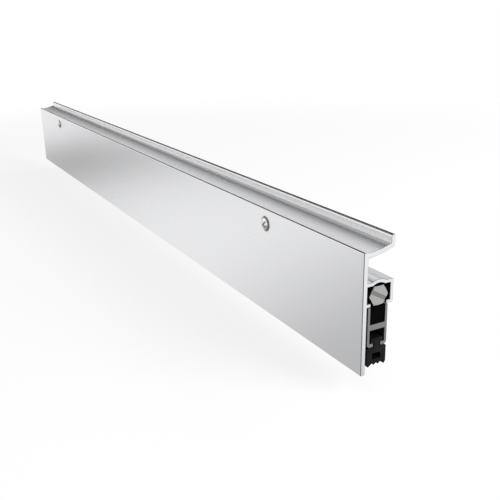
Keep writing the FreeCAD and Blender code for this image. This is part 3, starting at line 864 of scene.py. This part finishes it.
    def wall_rivet_places(self) -> list[Point]:
        """Where the wall rivets are, as (x, z): two in the guides, then two in the anchors."""
        start = node_box("plunger_guide")[0][0]
        xs = [start + self.guide_length / 2.0]
        xs += [middle_x(node) for node in ("far_guide", "anchor_block_near", "anchor_block_far")]
        heights = [node_box(node)[:, 2].mean() for node in ("guide_rivets", "anchor_wall_rivets")]
        return [(x, heights[number // 2]) for number, x in enumerate(xs)]

    def drill(self, body: bpy.types.Object) -> None:
        """Cuts the countersunk holes of screws and rivets, a hair wider than what they hold."""

        def hole(mouth: float, cone: float, radius: float, depth: float) -> list[Point]:
            """A countersunk hole's profile, which starts 1 mm outside the face."""
            return [(-1.0, 0.0), (-1.0, mouth), (0.0, mouth), (cone, radius), (depth, radius), (depth, 0.0)]

        cutter, gap, radius, past = Shell(), self.hole_gap, self.screw_thread.radius, self.drill_past
        wide = hole(self.head_radius + gap, self.head_radius - radius, radius + gap, self.plate + past)
        mouth = self.rivet_head_radius + self.rivet_gap
        small = hole(mouth, self.rivet_head, self.rivet_radius, self.wall + past)
        for end in End:
            cutter.turned(wide, (end.value * self.screw_x, self.front, self.screw_z), INWARD, 64)
        for x, z in self.wall_rivet_places():
            cutter.turned(small, (x, 0.0, z), OUTWARD, 48)
        tool = add("hole_cutter", cutter.mesh("hole_cutter"))
        cut = body.modifiers.new("holes", "BOOLEAN")
        cut.operation = "DIFFERENCE"
        cut.solver = "EXACT"
        cut.object = tool
        graph = bpy.context.evaluated_depsgraph_get()
        drilled = bpy.data.meshes.new_from_object(body.evaluated_get(graph))
        body.modifiers.clear()
        spare = [body.data, tool.data]
        body.data = drilled
        drilled.name = "profile_drilled"
        drilled.set_sharp_from_angle(angle=math.radians(CREASE))
        bpy.data.objects.remove(tool)
        for mesh in spare:
            bpy.data.meshes.remove(mesh)

    def profile(self) -> None:
        """The extruded profile with its sawn ends and drilled holes."""
        shell = Shell()
        ends = (-self.half_length, self.half_length)
        shell.extrude([trace(self.section())], *ends, self.sawn_edge, Skin.SAWN, Skin.DEBURRED_PAINTED_SHADE)
        finishes = (ANODISED, SAWN_BRIGHT, DEBURRED_PAINTED_SHADE, PAINTED_SHADE_TOP_EDGE, PAINTED_SHADE_END_EDGE, PAINTED_SHADE_CHAMBER, PALE_EDGE)
        made = piece("profile", shell, finishes, "housing_profile", "housing")
        self.drill(made)
        self.mark_edges(made.data)

    def mark_edges(self, mesh: bpy.types.Mesh) -> None:
        """Paints shade on the narrow top edges, the plate's end edge and the chamber, and gives the tray's
        end edges their pale finish.
        """
        centres = np.empty(len(mesh.polygons) * 3, np.float32)
        mesh.polygons.foreach_get("center", centres)
        numbers = np.empty(len(mesh.polygons), np.int32)
        mesh.polygons.foreach_get("material_index", numbers)
        y, z = centres.reshape(-1, 3)[:, 1] / MM, centres.reshape(-1, 3)[:, 2] / MM
        near = 0.05
        plate = (y < self.front + self.shaded_rim) & (z > self.plate_top - self.top_band)
        upstand = (y > -self.shaded_upstand) & (z > self.upstand_top - self.top_band)
        across = (y > self.front + self.plate - near) & (y < near - self.wall)
        chamber = across & (z > self.lip_top - near) & (z < self.arch + near)
        tray = (y > self.front + self.rim) & (z > self.tray_low - 2.0 * near)
        # Painted shade goes on the top edges, the chamber and the plate's end edge; the tray's end edges get
        # a pale finish.
        for place, old, new in (
            (plate | upstand, Skin.MAIN, Skin.PAINTED_SHADE_TOP_EDGE),
            (chamber, Skin.MAIN, Skin.PAINTED_SHADE_CHAMBER),
            (y < self.front + self.edge, Skin.DEBURRED_PAINTED_SHADE, Skin.PAINTED_SHADE_END_EDGE),
            (tray, Skin.DEBURRED_PAINTED_SHADE, Skin.TRAY_EDGE),
        ):
            numbers[place & (numbers == old)] = new
        mesh.polygons.foreach_set("material_index", numbers)

    def dome_height(self, reach: Array) -> Array:
        """Height of the head above the plate at a distance from its middle: a sphere's cap."""
        ball = (self.dome_radius**2 + self.dome**2) / (2.0 * self.dome)
        return np.sqrt(ball**2 - np.minimum(reach, self.dome_radius) ** 2) - (ball - self.dome)

    def head_surface(self, count: int = 76) -> Array:
        """The raised head with its cross recess, as (across, up, towards the viewer).

        The height is a sphere's cap less the recess. Each arm of the recess is as deep as the
        smaller of a steep side wall and a slope that runs down to its floor.
        """
        s, t = np.meshgrid(np.linspace(-1.0, 1.0, count), np.linspace(-1.0, 1.0, count), indexing="ij")
        inner = self.dome_radius * self.rim_share
        u = s * np.sqrt(1.0 - t**2 / 2.0) * inner
        v = t * np.sqrt(1.0 - s**2 / 2.0) * inner
        half, arm = self.recess_width / 2.0, self.recess_length / 2.0

        def channel(along: Array, across: Array) -> Array:
            """Depth of one arm."""
            slope = np.clip((arm - np.abs(along)) / (arm * self.slope_share), 0.0, 1.0) * self.recess_depth
            wall = np.clip((half - np.abs(across)) * self.wall_slope, 0.0, self.recess_depth)
            return np.minimum(slope, wall)

        centre = np.clip((self.floor_radius - np.hypot(u, v)) * self.floor_slope, 0.0, self.recess_depth)
        depth = np.maximum(np.maximum(channel(u, v), channel(v, u)), centre)
        return np.stack([u, v, self.dome_height(np.hypot(u, v)) - depth], axis=-1)

    def screw(self, end: End) -> None:
        """A raised countersunk self-tapping screw: domed head, cone, coarse thread and point."""
        seat = (end.value * self.screw_x, self.front, self.screw_z)
        turn = math.radians(self.near_turn if end is End.NEAR else self.far_turn)
        across, up, height = np.moveaxis(self.head_surface(), -1, 0)
        u = across * math.cos(turn) - up * math.sin(turn)
        v = across * math.sin(turn) + up * math.cos(turn)
        shell = Shell()
        # Painted shade: the head's lower part takes the darker finish.
        dull = np.where(v < self.painted_shade_below, Head.PAINTED_SHADE_LOW, Head.MAIN)[:-1, :-1].ravel()
        shell.grid(np.array(seat) + np.stack([u, -height, v], axis=-1), finish=dull)
        # Painted shade: the dome's outer band and the flat ring round it are dark, the ring standing for a
        # shadow gap.
        band = np.linspace(self.rim_share, 1.0, 7) * self.dome_radius
        shell.turned(np.stack([-self.dome_height(band), band], axis=1), seat, INWARD, 96, Head.SHADED)
        shell.turned([(0.0, self.dome_radius), (0.0, self.shadow_ring_radius)], seat, INWARD, 96, Head.SHADED)
        shell.turned([(0.0, self.shadow_ring_radius), (0.0, self.head_radius)], seat, INWARD, 96)
        radius, start = self.screw_thread.radius, self.plate + self.shank_step
        under = [
            (0.0, self.head_radius),
            (self.head_rim, self.head_radius),
            (self.head_radius - radius, radius),
            (self.plate, radius),
            (start, radius - self.screw_thread.depth),
        ]
        shell.turned(under, seat, INWARD, 64)
        shell.threaded(self.screw_thread, start, self.screw_length, seat, INWARD)
        name = "fixing_screw_" + end.name.lower()
        piece(name, shell, (BRIGHT, SHADED, PAINTED_SHADE_LOW), "fixing_screws", "housing")

    def sunk_rivets(self, name: str, node: str, places: Sequence[Point]) -> None:
        """Rivets flush with the back face, each head dished a little by the tool."""
        wide, tall = self.rivet_head_radius, self.wall + self.rivet_hold
        head = [(0.04, 0.0), (0.04, 0.9), (0.0, wide - 0.25, 0.3), (0.03, wide),
                (self.rivet_head, self.rivet_radius), (tall, self.rivet_radius, 0.1), (tall, 0.0)]
        shell = Shell()
        for x, z in places:
            shell.turned(head, (x, 0.0, z), OUTWARD, 40)
        piece(name, shell, (RIVET,), node, "housing")

    def guide(self, name: str, node: str, block_end: float, hollow: float) -> None:
        """A nylon insert that fills the chamber, with a tongue that guides the carrier's legs.

        Args:
            name: The piece's name.
            node: The CAD node that it stands for.
            block_end: Where the block ends towards +X; the tongue goes on to the node's end.
            hollow: Radius of the push screw's bore, or 0.
        """
        (x0, low, z0), (x1, _, _) = node_box(node)
        high, axis, wide, corner = -self.wall, self.axis_y, self.tongue_width, self.guide_corner
        block = trace([
            Corner(low, self.lip_top, corner),
            Corner(high, self.lip_top, corner),
            Corner(high, self.ceiling_under, corner),
            self.arch_arc(self.arch - self.guide_gap, self.ceiling_under, True),
            Corner(low, self.ceiling_under, corner),
        ])
        shell = Shell()
        shell.extrude([block, bore(axis, hollow)] if hollow else [block], x0, block_end, self.block_corner)
        tongue = rectangle(wide, z0, self.lip_top - self.apart, axis, self.block_edge)
        shell.extrude([tongue], x0, block_end, self.block_corner)
        if x1 > block_end + self.tongue_sunk:
            tongue = rectangle(wide, z0, self.tongue_top, axis, self.block_edge)
            shell.extrude([tongue], block_end - self.tongue_sunk, x1, self.block_edge)
        piece(name, shell, (NYLON,), node, "housing")

    def lipped_block(self, name: str, node: str, body: str, neck: float, lift: float = 0.0) -> None:
        """A nylon block on the profile's lips, with a neck down between them.

        Args:
            name: The piece's name.
            node: The CAD node that it stands for and is as large as.
            body: The body that it rides on.
            neck: The neck's width.
            lift: How far above the lips the block stays.
        """
        (x0, y0, z0), (x1, y1, z1) = node_box(node)
        foot, edge = self.lip_top + lift, self.block_edge
        shell = Shell()
        shell.extrude([rectangle(y1 - y0, foot, z1, (y0 + y1) / 2.0, self.block_corner)], x0, x1, edge)
        stem = rectangle(neck, z0, foot + edge, self.axis_y, self.neck_corner)
        shell.extrude([stem], x0 + self.apart, x1 - self.apart, edge)
        piece(name, shell, (NYLON,), node, body)

    def build(self) -> None:
        """Builds the profile, screws, guides, anchors and wall rivets."""
        self.profile()
        for end in End:
            self.screw(end)
        block_end = float(node_box("plunger_guide")[0][0]) + self.guide_length
        self.guide("plunger_guide_moulding", "plunger_guide", block_end, self.bore_radius)
        self.guide("far_guide_moulding", "far_guide", float(node_box("far_guide")[1][0]), 0.0)
        for which in ("near", "far"):
            self.lipped_block("anchor_" + which, "anchor_block_" + which, "housing", self.tongue_width)
        places = self.wall_rivet_places()
        self.sunk_rivets("guide_wall_rivets", "guide_rivets", places[:2])
        self.sunk_rivets("anchor_wall_rivets_set", "anchor_wall_rivets", places[2:])


@dataclass
class LeafSpring:
    """A leaf spring between a fixed block, the carrier and a sliding block."""

    axis_y: float
    middle: float
    span: float = 100.0
    width: float = 5.5
    thickness: float = 0.5
    middle_flat: float = 12.0
    end_flat: float = 9.0
    high: float = -4.45
    low: float = -10.2
    edge: float = 0.12
    end_round: float = 1.2
    step: float = 0.9
    overlap: float = 0.3
    cover: float = 0.01
    crease: float = 40.0

    def centre_line(self, x: Array) -> Array:
        """Height of the strip's middle at a distance from its own middle.

        It is level at the middle and at the ends, and between them it rises along two arcs that
        touch each other halfway: z = low + R - sqrt(R^2 - t^2), and the same turned round above.
        """
        run = self.span / 2.0 - self.middle_flat / 2.0 - self.end_flat / 2.0
        turn = 2.0 * math.atan((self.high - self.low) / run)
        radius = run / 2.0 / math.sin(turn)
        t = np.clip(np.abs(x) - self.middle_flat / 2.0, 0.0, run)
        below = self.low + radius - np.sqrt(radius**2 - np.minimum(t, run / 2.0) ** 2)
        above = self.high - radius + np.sqrt(radius**2 - np.minimum(run - t, run / 2.0) ** 2)
        return np.where(t < run / 2.0, below, above)

    def strip(self, x0: float, x1: float, finished: int = 0, grow: float = 0.0) -> Shell:
        """Carries the strip's rounded section along the centre line between two places.

        Args:
            x0: Start, from the spring's own middle.
            x1: End.
            finished: Which end has rounded corners: -1 the start, 1 the end, 0 neither.
            grow: How much thicker and wider the strip is on each side, where it covers another.

        Returns:
            The strip.
        """
        half_w, half_t = self.width / 2.0 + grow, self.thickness / 2.0 + grow
        across, up = rectangle(2.0 * half_w, -half_t, half_t, 0.0, self.edge).T
        x = np.linspace(x0, x1, max(4, int((x1 - x0) / self.step)))
        room = {-1: x - x0, 0: np.full_like(x, self.end_round), 1: x1 - x}[finished] / self.end_round
        draw = self.end_round * (1.0 - np.sqrt(1.0 - (1.0 - np.clip(room, 0.0, 1.0)) ** 2))
        side = np.clip(1.0 - draw / half_w, 0.05, 1.0)
        z = self.centre_line(x)
        slope = np.gradient(z, x)
        lean = np.stack([-slope, np.ones_like(slope)], axis=1) / np.sqrt(1.0 + slope**2)[:, None]
        grid = np.stack([
            self.middle + x[:, None] + lean[:, 0:1] * up[None, :],
            self.axis_y + side[:, None] * across[None, :],
            z[:, None] + lean[:, 1:2] * up[None, :],
        ], axis=-1)
        shell = Shell()
        shell.grid(grid, around=True)
        shell.cap([grid[0]])
        shell.cap([grid[-1]])
        return shell

    def build(self, name: str, node: str) -> None:
        """Builds the curved half from the anchor, the curved half to the slider, and its foot on the slider.
        """
        run_end, far = self.span / 2.0 - self.end_flat / 2.0, self.span / 2.0 + self.end_flat / 2.0
        for label, side, shell in (
            ("_anchor_half", -1, self.strip(-far, 0.0, -1)),
            ("_slider_half", 1, self.strip(0.0, run_end + self.overlap)),
        ):
            bent = piece(name + label, shell, (SPRING,), "", None, self.crease)
            hold, meet = (
                ((self.middle + side * reach) * MM, self.axis_y * MM, 0.0)
                for reach in (run_end, self.middle_flat / 2.0)
            )
            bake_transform(bent)
            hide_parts(node)
        foot = self.strip(run_end, far, 1, self.cover)
        piece(name + "_slider_foot", foot, (SPRING,), "", "slider", self.crease)


class RivetHead(Enum):
    """Which head an upright rivet shows, and where."""

    ROUND_BELOW = "round below"
    FLAT_ABOVE = "flat above"
    BOTH = "round above, closed below"


@dataclass
class Rivets:
    """Round-headed and flat-headed rivets of the mechanism, all upright."""

    axis_y: float
    shank: float = 1.2
    head: float = 2.0
    head_height: float = 0.7

    def build(self, name: str, node: str, body: str, places: Sequence[float], head: RivetHead) -> None:
        """Rivets as tall as the node at each place along X.

        Args:
            name: The piece's name.
            node: The CAD node that it stands for.
            body: The body that it rides on.
            places: Middles along X.
            head: The rivets' heads.
        """
        low, high = node_box(node)[:, 2]
        tall, top, wide, thin = high - low, self.head_height, self.head, self.shank
        crown = [(0.0, 0.0), (0.0, wide - 0.5, 0.35), (top, wide, 0.12), (top, thin)]
        flat = [(0.03, 0.0), (0.03, 1.1), (0.0, 1.5), (0.0, wide, 0.15), (top, wide), (top, thin)]
        tail = [(tall, thin, 0.15), (tall, 0.0)]
        closed = [(tall - top, thin), (tall - top, wide - 0.5, 0.1), (tall, wide - 0.55, 0.2), (tall, 0.0)]
        steps, finish = {
            RivetHead.ROUND_BELOW: (crown + tail, RIVET_STEEL),
            RivetHead.FLAT_ABOVE: (flat + tail, RIVET_STEEL),
            RivetHead.BOTH: (crown + closed, RIVET),
        }[head]
        start, axis = (low, UP) if head is RivetHead.ROUND_BELOW else (high, DOWN)
        shell = Shell()
        for x in places:
            shell.turned(steps, (x, self.axis_y, start), axis, 36)
        piece(name, shell, (finish,), node, body)


@dataclass
class Slider:
    """The bar that the push screw moves, with its coupling block and sliding blocks."""

    housing: Housing
    bar_width: float = 7.0
    bar_edge: float = 0.2
    corner: float = 0.3
    head_corner: float = 0.35
    neck: float = 5.6
    edge: float = 0.25
    lift: float = 0.1

    def build(self) -> None:
        """Builds the flat bar, the coupling block with its low tongue, and the sliding blocks."""
        axis = self.housing.axis_y
        (x0, _, z0), (x1, _, z1) = node_box("slider_bar")
        shell = Shell()
        shell.extrude([rectangle(self.bar_width, z0, z1, axis, self.corner)], x0, x1, self.bar_edge)
        piece("slider_flat_bar", shell, (ZINC,), "slider_bar", "slider")
        step, bar_under = x1, z0
        (x0, y0, z0), (x1, y1, z1) = node_box("coupling_block")
        head = rectangle(y1 - y0, z0, z1, axis, self.head_corner)
        tongue = rectangle(y1 - y0, z0, bar_under, axis, self.corner)
        shell = Shell()
        shell.extrude([head, bore(axis, self.housing.bore_radius)], step, x1, self.edge)
        shell.extrude([tongue], x0, step + self.housing.apart, self.edge)
        piece("coupling_moulding", shell, (ZINC,), "coupling_block", "slider")
        for which in ("near", "far"):
            node = "slider_block_" + which
            self.housing.lipped_block(node + "_moulding", node, "slider", self.neck, self.lift)


@dataclass
class PushScrew:
    """The hexagon head screw that the door frame pushes: slotted head and threaded shank."""

    axis_y: float
    end: float = 230.0
    head: float = 2.8
    flats: float = 6.85
    face_chamfer: float = 0.18
    slot_width: float = 1.3
    slot_depth: float = 0.3
    slot_lip: float = 0.06
    soft: float = 0.08
    base_share: float = 0.97
    slot_turn: float = -30.0
    length: float = 44.0
    thread: Thread = Thread(2.0, 0.33, 0.7, 0.5, 8, 40)

    def face(self) -> Array:
        """The head's face as (along the slot, across it, depth below the face).

        The rows run along the slot and are as long as the hexagon is wide there. The depth is a
        cone outside the inscribed circle, and the slot's depth between its two walls.
        """
        corner, half, lip = self.flats / math.sqrt(3.0), self.slot_width / 2.0, self.slot_lip
        outer = [np.linspace(corner, corner / 2.0, 16), np.linspace(corner / 2.0, half + lip, 12)[1:]]
        outer = np.concatenate(outer)
        across = np.concatenate([outer, [half, half, 0.0, -half, -half], -outer[::-1]])
        middle = len(across) // 2
        inside = np.abs(np.arange(len(across)) - middle) < 2
        at_lip = np.zeros(len(across))
        at_lip[[middle - 2, middle + 2]] = lip
        width = np.minimum(self.flats / 2.0, (corner - np.abs(across)) * math.sqrt(3.0))
        along = width[:, None] * np.linspace(-1.0, 1.0, 61)[None, :]
        past = np.hypot(along, across[:, None]) - (self.flats / 2.0 - self.soft)
        slope = self.face_chamfer / (corner - self.flats / 2.0)
        soft = np.maximum(past + self.soft, 0.0) ** 2 * slope * 1.4
        cone = np.where(past < 2.0 * self.soft, soft, np.maximum(past, 0.0) * slope)
        depth = np.where(inside[:, None], self.slot_depth, cone + at_lip[:, None])
        return np.stack([along, np.broadcast_to(across[:, None], along.shape), depth], axis=-1)

    def lay(self, flat: Array) -> Array:
        """Places points of (along the slot, across it, depth) on the seal's end."""
        turn = math.radians(self.slot_turn)
        along, across, depth = np.moveaxis(flat, -1, 0)
        y = self.axis_y + along * math.cos(turn) - across * math.sin(turn)
        z = along * math.sin(turn) + across * math.cos(turn)
        return np.stack([self.end - depth, y, z], axis=-1)

    def build(self) -> None:
        """Builds the head, its sides, the thread and the screw's inner end."""
        shell = Shell()
        face = self.face()
        low, high = len(face) // 2 - 2, len(face) // 2 + 2
        # The slot's rows take the darker finish, a painted shade.
        for rows, finish in (
            (face[: low + 1], Head.MAIN), (face[low : high + 1], Head.SHADED), (face[high:], Head.MAIN)
        ):
            shell.grid(self.lay(rows), finish=finish)
        rim = np.concatenate([face[:, -1], face[::-1, 0]])
        base, back = rim.copy(), rim.copy()
        base[:, :2] *= self.base_share
        base[:, 2] = self.head
        bevel = np.maximum(np.hypot(rim[:, 0], rim[:, 1]) - self.flats / 2.0, 0.0) * 0.5
        back[:, 2] = np.maximum(self.head - bevel, rim[:, 2] + 0.05)
        shell.grid(np.stack([self.lay(rim), self.lay(back), self.lay(base)]), around=True)
        shell.cap([self.lay(base)])
        collar = [(0.0, 0.0), (0.0, 3.1), (0.25, 3.1), (0.25, self.thread.radius - 0.2), (0.3, 0.0)]
        shell.turned(collar, (self.end - self.head + 0.1, self.axis_y, 0.0), BACKWARD, 48)
        inner_end = (self.end - self.length, self.axis_y, 0.0)
        shell.threaded(self.thread, 0.0, self.length - self.head - 0.2, inner_end, ALONG)
        piece("push_screw", shell, (HEX_STEEL, SHADED_SLOT_STEEL), "adjusting_screw", "adjuster")


@dataclass
class Carrier:
    """The dropping carrier: an H-shaped profile that holds the rubber seal."""

    axis_y: float
    width: float = 8.3
    leg: float = 0.95
    top: float = -3.95
    crossbar_top: float = -10.45
    crossbar: float = 2.1
    lip_top: float = -17.6
    lip: float = 1.3
    slot: float = 3.2
    chamfer: float = 0.8
    edge: float = 0.3
    inner_corner: float = 0.12
    painted_shade_end_edge: float = 0.08
    seal_end_edge: float = 0.06
    seal_head: Point = (5.1, 1.85)
    seal_neck: float = 2.3
    seal_body: float = 8.2
    seal_shoulder_gap: float = 0.35
    seal_shoulder: float = 0.5
    hollow: Point = (3.65, 2.35)
    hollow_top: float = -21.45
    sole_side: float = -25.55
    outer_tip: Point = (3.4, -26.45)
    inner_tip: Point = (0.9, -26.05)
    valley: Point = (1.8, -25.25)

    def mirrored(self, right: Sequence[tuple[float, float, float]], middle: Sequence[Corner] = ()) -> Array:
        """The outline of a section that is the same on both sides of the middle.

        Args:
            right: Corners of the right half, as (half width, height, rounding).
            middle: Corners on the middle line, after the right half.

        Returns:
            The outline's points.
        """
        first = [Corner(self.axis_y + u, v, r) for u, v, r in right]
        last = [Corner(self.axis_y - u, v, r) for u, v, r in reversed(right)]
        return trace([*first, *middle, *last])

    def build(self) -> None:
        """Builds the H-shaped profile, and the rubber with its T head, hollow body and ribbed sole."""
        out, inner, soft = self.width / 2.0, self.width / 2.0 - self.leg, self.inner_corner
        half, under = self.slot / 2.0, self.lip_top - self.lip
        ring = self.mirrored([
            (inner, self.crossbar_top, soft),
            (inner, self.top, 0.15),
            (out, self.top, self.edge),
            (out, under + self.chamfer, 0.15),
            (out - self.chamfer, under, 0.15),
            (half, under, self.edge),
            (half, self.lip_top, self.edge),
            (inner, self.lip_top, soft),
            (inner, self.crossbar_top - self.crossbar, soft),
        ])
        shell = Shell()
        x0, x1 = node_box("seal_carrier")[:, 0]
        shell.extrude([ring], x0, x1, self.painted_shade_end_edge, Skin.SAWN)
        piece("carrier_profile", shell, (MILL, SAWN_MILL), "seal_carrier", "carrier")
        head, neck, side = self.seal_head[0] / 2.0, self.seal_neck / 2.0, self.seal_body / 2.0
        shoulder = under - self.seal_shoulder_gap
        right = [
            (head, self.lip_top + self.seal_head[1], 0.35),
            (head, self.lip_top, 0.25),
            (neck, self.lip_top, 0.15),
            (neck, shoulder, soft),
            (side, shoulder, self.seal_shoulder),
            (side, self.sole_side, 0.15),
            (*self.outer_tip, soft),
            (*self.valley, 0.10),
            (*self.inner_tip, soft),
        ]
        sole = self.mirrored(right, [Corner(self.axis_y, self.valley[1], 0.10)])
        floor = self.hollow_top - self.hollow[1]
        hollow = rectangle(self.hollow[0], self.hollow_top, floor, self.axis_y, 0.3)
        shell = Shell()
        x0, x1 = node_box("rubber_seal")[:, 0]
        shell.extrude([sole, hollow], x0, x1, self.seal_end_edge)
        piece("rubber_sole", shell, (RUBBER,), "rubber_seal", "carrier")


def build_mechanism(axis_y: float) -> None:
    """Builds both leaf springs and the four sets of upright rivets about the push screw's axis."""
    ends, kinds = ("near", "far"), ("leaf_spring_", "anchor_block_", "slider_block_")
    middles, anchors, sliders = ([middle_x(kind + which) for which in ends] for kind in kinds)
    for which, middle in zip(ends, middles):
        LeafSpring(axis_y, middle).build("leaf_" + which, "leaf_spring_" + which)
    joint = float(node_box("coupling_block")[0][0] + node_box("slider_bar")[1][0]) / 2.0
    rivets = Rivets(axis_y)
    below, above = RivetHead.ROUND_BELOW, RivetHead.FLAT_ABOVE
    rivets.build("anchor_foot_rivets", "anchor_leaf_rivets", "housing", anchors, below)
    rivets.build("slider_foot_rivets", "slider_leaf_rivets", "slider", sliders, below)
    rivets.build("bar_top_rivets", "slider_bar_rivets", "slider", [joint, *sliders], above)
    rivets.build("carrier_mid_rivets", "carrier_leaf_rivets", "carrier", middles, RivetHead.BOTH)


# Studio


@dataclass
class Studio:
    """Floor, world, lamps and the camera at the photograph's angle, in metres.

    A strip is the lean where its light starts, the lean where it ends and its light. A dip is its
    middle, width, slant and depth. A lamp is its name, place, aim, size and power.
    """

    floor_z: float = -0.0366
    camera_place: Place = (0.3995, -0.1459, 0.0905)
    camera_right: Place = (0.4797, 0.8771, -0.0222)
    camera_up: Place = (-0.2728, 0.1732, 0.9463)
    lens: float = 50.02
    ambient: float = 0.42
    room_light: float = 0.55
    open_light: float = 0.75
    strips: tuple[tuple[Point, Point, float], ...] = (
        ((-100.0, -84.0), (-45.5, -22.5), 0.52),
        ((-45.5, 0.0), (31.5, 37.5), -0.52),
        ((32.5, 38.5), (50.0, 62.0), 0.42),
    )
    gap_ends: Point = (-0.6, -0.35)
    floor_light: float = 1.009
    floor_glow: float = 0.735
    floor_greys: Point = (0.8, 0.35)
    shadow_ends: Point = (0.35, 0.75)
    dips: tuple[tuple[Point, Point, float, float], ...] = (
        ((0.20, -0.12), (0.10, 0.10), 0.0, 0.46),
        ((0.22, -0.01), (0.07, 0.05), 0.0, 0.271),
        ((-0.25, -0.10), (0.13, 1.0), 0.0, 0.366),
        ((-0.25, -0.06), (0.13, 1.0), 2.5, 0.156),
    )
    lamps: tuple[tuple[str, Place, Place, Point, float], ...] = (
        ("end", (0.85, 0.40, 0.42), (0.25, 0.03, -0.02), (0.5, 0.4), 5.3),
        ("back", (-0.2, 1.2, 0.9), (0.0, 0.0, 0.0), (1.2, 0.6), 3.0),
    )

    def world(self) -> None:
        """A white backdrop to the eye, plain pale light to the object, and a long dark gap in gloss.

        The gap lies overhead along the seal, like the dark between two strip lights. Only gloss rays
        that run along -X meet it: their light is a function of the ray's lean from upright, towards
        the door's side. Other gloss rays meet an even light.
        """
        world = bpy.data.worlds.new("studio")
        world.use_nodes = True
        bpy.context.scene.world = world
        sheet = NodeSheet(world.node_tree)
        ray = sheet.node("TexCoord").outputs["Generated"]
        along, across, up = sheet.wires("XYZ", "SeparateXYZ", {0: ray})
        lean = sheet.math("ARCTAN2", across, up)

        def band(start: Point, end: Point) -> Wire:
            """1 between two leans in degrees, with a soft step at each."""
            return lean.between(*np.radians(start)) * (1.0 - lean.between(*np.radians(end)))

        room = sum((band(start, end) * light for start, end, light in self.strips), self.room_light)
        away = along.between(*self.gap_ends)
        room = room * (1.0 - away) + away * self.open_light
        names = ("Is Camera Ray", "Is Glossy Ray", "Is Transmission Ray")
        camera, gloss, clear = sheet.wires(names, "LightPath")
        strengths = (self.ambient, room, 1.0)
        plain, mirrored, seen = (sheet.light("Background", strength) for strength in strengths)
        lit = sheet.mix(sheet.math("MAXIMUM", gloss, clear), plain, mirrored)
        sheet.node("OutputWorld", {"Surface": sheet.mix(camera, lit, seen)})

    def floor(self, half: float = 6.0) -> None:
        """A plain pale floor under the lowered seal, which keeps the object's soft shadow.

        To gloss rays it is light that dims in a few wide ovals of painted shadow, which shade the plate
        softly.
        """
        side = np.array([-half, half]) / MM
        x, y = np.meshgrid(side, side, indexing="ij")
        shell = Shell()
        shell.grid(np.stack([x, y, np.full_like(x, self.floor_z / MM)], axis=-1), smooth=False)
        made = add("floor", shell.mesh("floor"))
        if made.data.polygons[0].normal.z < 0:
            made.data.flip_normals()
        material, sheet = new_material("pale_floor")
        greys = [(grey, grey, grey, 1.0) for grey in self.floor_greys]
        plain, dull = (sheet.socket("BsdfDiffuse", {"Color": grey}) for grey in greys)
        glow, bare = (sheet.light("Emission", strength) for strength in (self.floor_glow, 1.0))
        place = sheet.place((1.0, 1.0, 0.0))
        shadowed = sheet.socket("AddShader", {0: dull, 1: glow})
        seen = sheet.mix(sheet.length(place).between(*self.shadow_ends), shadowed, bare)
        x, y = sheet.wires("XY", "SeparateXYZ", {0: place})

        def dip(middle: Point, width: Point, slant: float) -> Wire:
            """An oval dimness: exp(-(u / width)^2 - (v / width)^2) about its middle, with u slanted."""
            v = y - middle[1]
            u, v = (x - middle[0] - v * slant) * (1.0 / width[0]), v * (1.0 / width[1])
            return sheet.math("EXPONENT", 0.0 - (u * u + v * v))

        # Painted shadow: each dip darkens the floor's gloss light in an oval, for the object's shadow under
        # the near end and the light's falloff towards the far end.
        shade = sum((dip(middle, width, slant) * depth for middle, width, slant, depth in self.dips), 0.0)
        gleam = sheet.light("Emission", self.floor_light - shade)
        camera, gloss = sheet.wires(("Is Camera Ray", "Is Glossy Ray"), "LightPath")
        sheet.node("OutputMaterial", {"Surface": sheet.mix(camera, sheet.mix(gloss, plain, gleam), seen)})
        made.data.materials.append(material)

    def lamp(self, name: str, place: Place, aim: Place, size: Point, power: float) -> None:
        """A soft rectangular lamp that looks at a place and doesn't show in gloss."""
        data = bpy.data.lights.new(name, "AREA")
        data.shape = "RECTANGLE"
        data.size, data.size_y = size
        data.energy = power
        made = add(name, data)
        made.location = place
        made.visible_camera = False
        made.visible_glossy = False
        made.rotation_euler = (Vector(aim) - Vector(place)).to_track_quat("-Z", "Y").to_euler()

    def camera(self) -> None:
        """The camera, from its place and its right and up directions."""
        data = bpy.data.cameras.new("camera")
        data.lens = self.lens
        data.sensor_width = 36.0
        data.clip_start, data.clip_end = 0.01, 50.0
        made = add("camera", data)
        right, up = Vector(self.camera_right).normalized(), Vector(self.camera_up)
        up = (up - right * up.dot(right)).normalized()
        axes = Matrix((right, up, right.cross(up))).transposed().to_4x4()
        made.matrix_world = Matrix.Translation(Vector(self.camera_place)) @ axes
        bpy.context.scene.camera = made

    def build(self) -> None:
        """Sets up the whole studio."""
        bpy.context.scene.view_settings.view_transform = "Standard"
        self.world()
        self.floor()
        for lamp in self.lamps:
            self.lamp(*lamp)
        self.camera()


def main() -> None:
    """Builds the seal and the studio."""
    logging.basicConfig(level=logging.INFO, format="%(name)s %(message)s")
    housing = Housing()
    housing.build()
    Slider(housing).build()
    PushScrew(housing.axis_y).build()
    Carrier(housing.axis_y).build()
    build_mechanism(housing.axis_y)
    Studio().build()


if __name__ == "__main__":
    main()
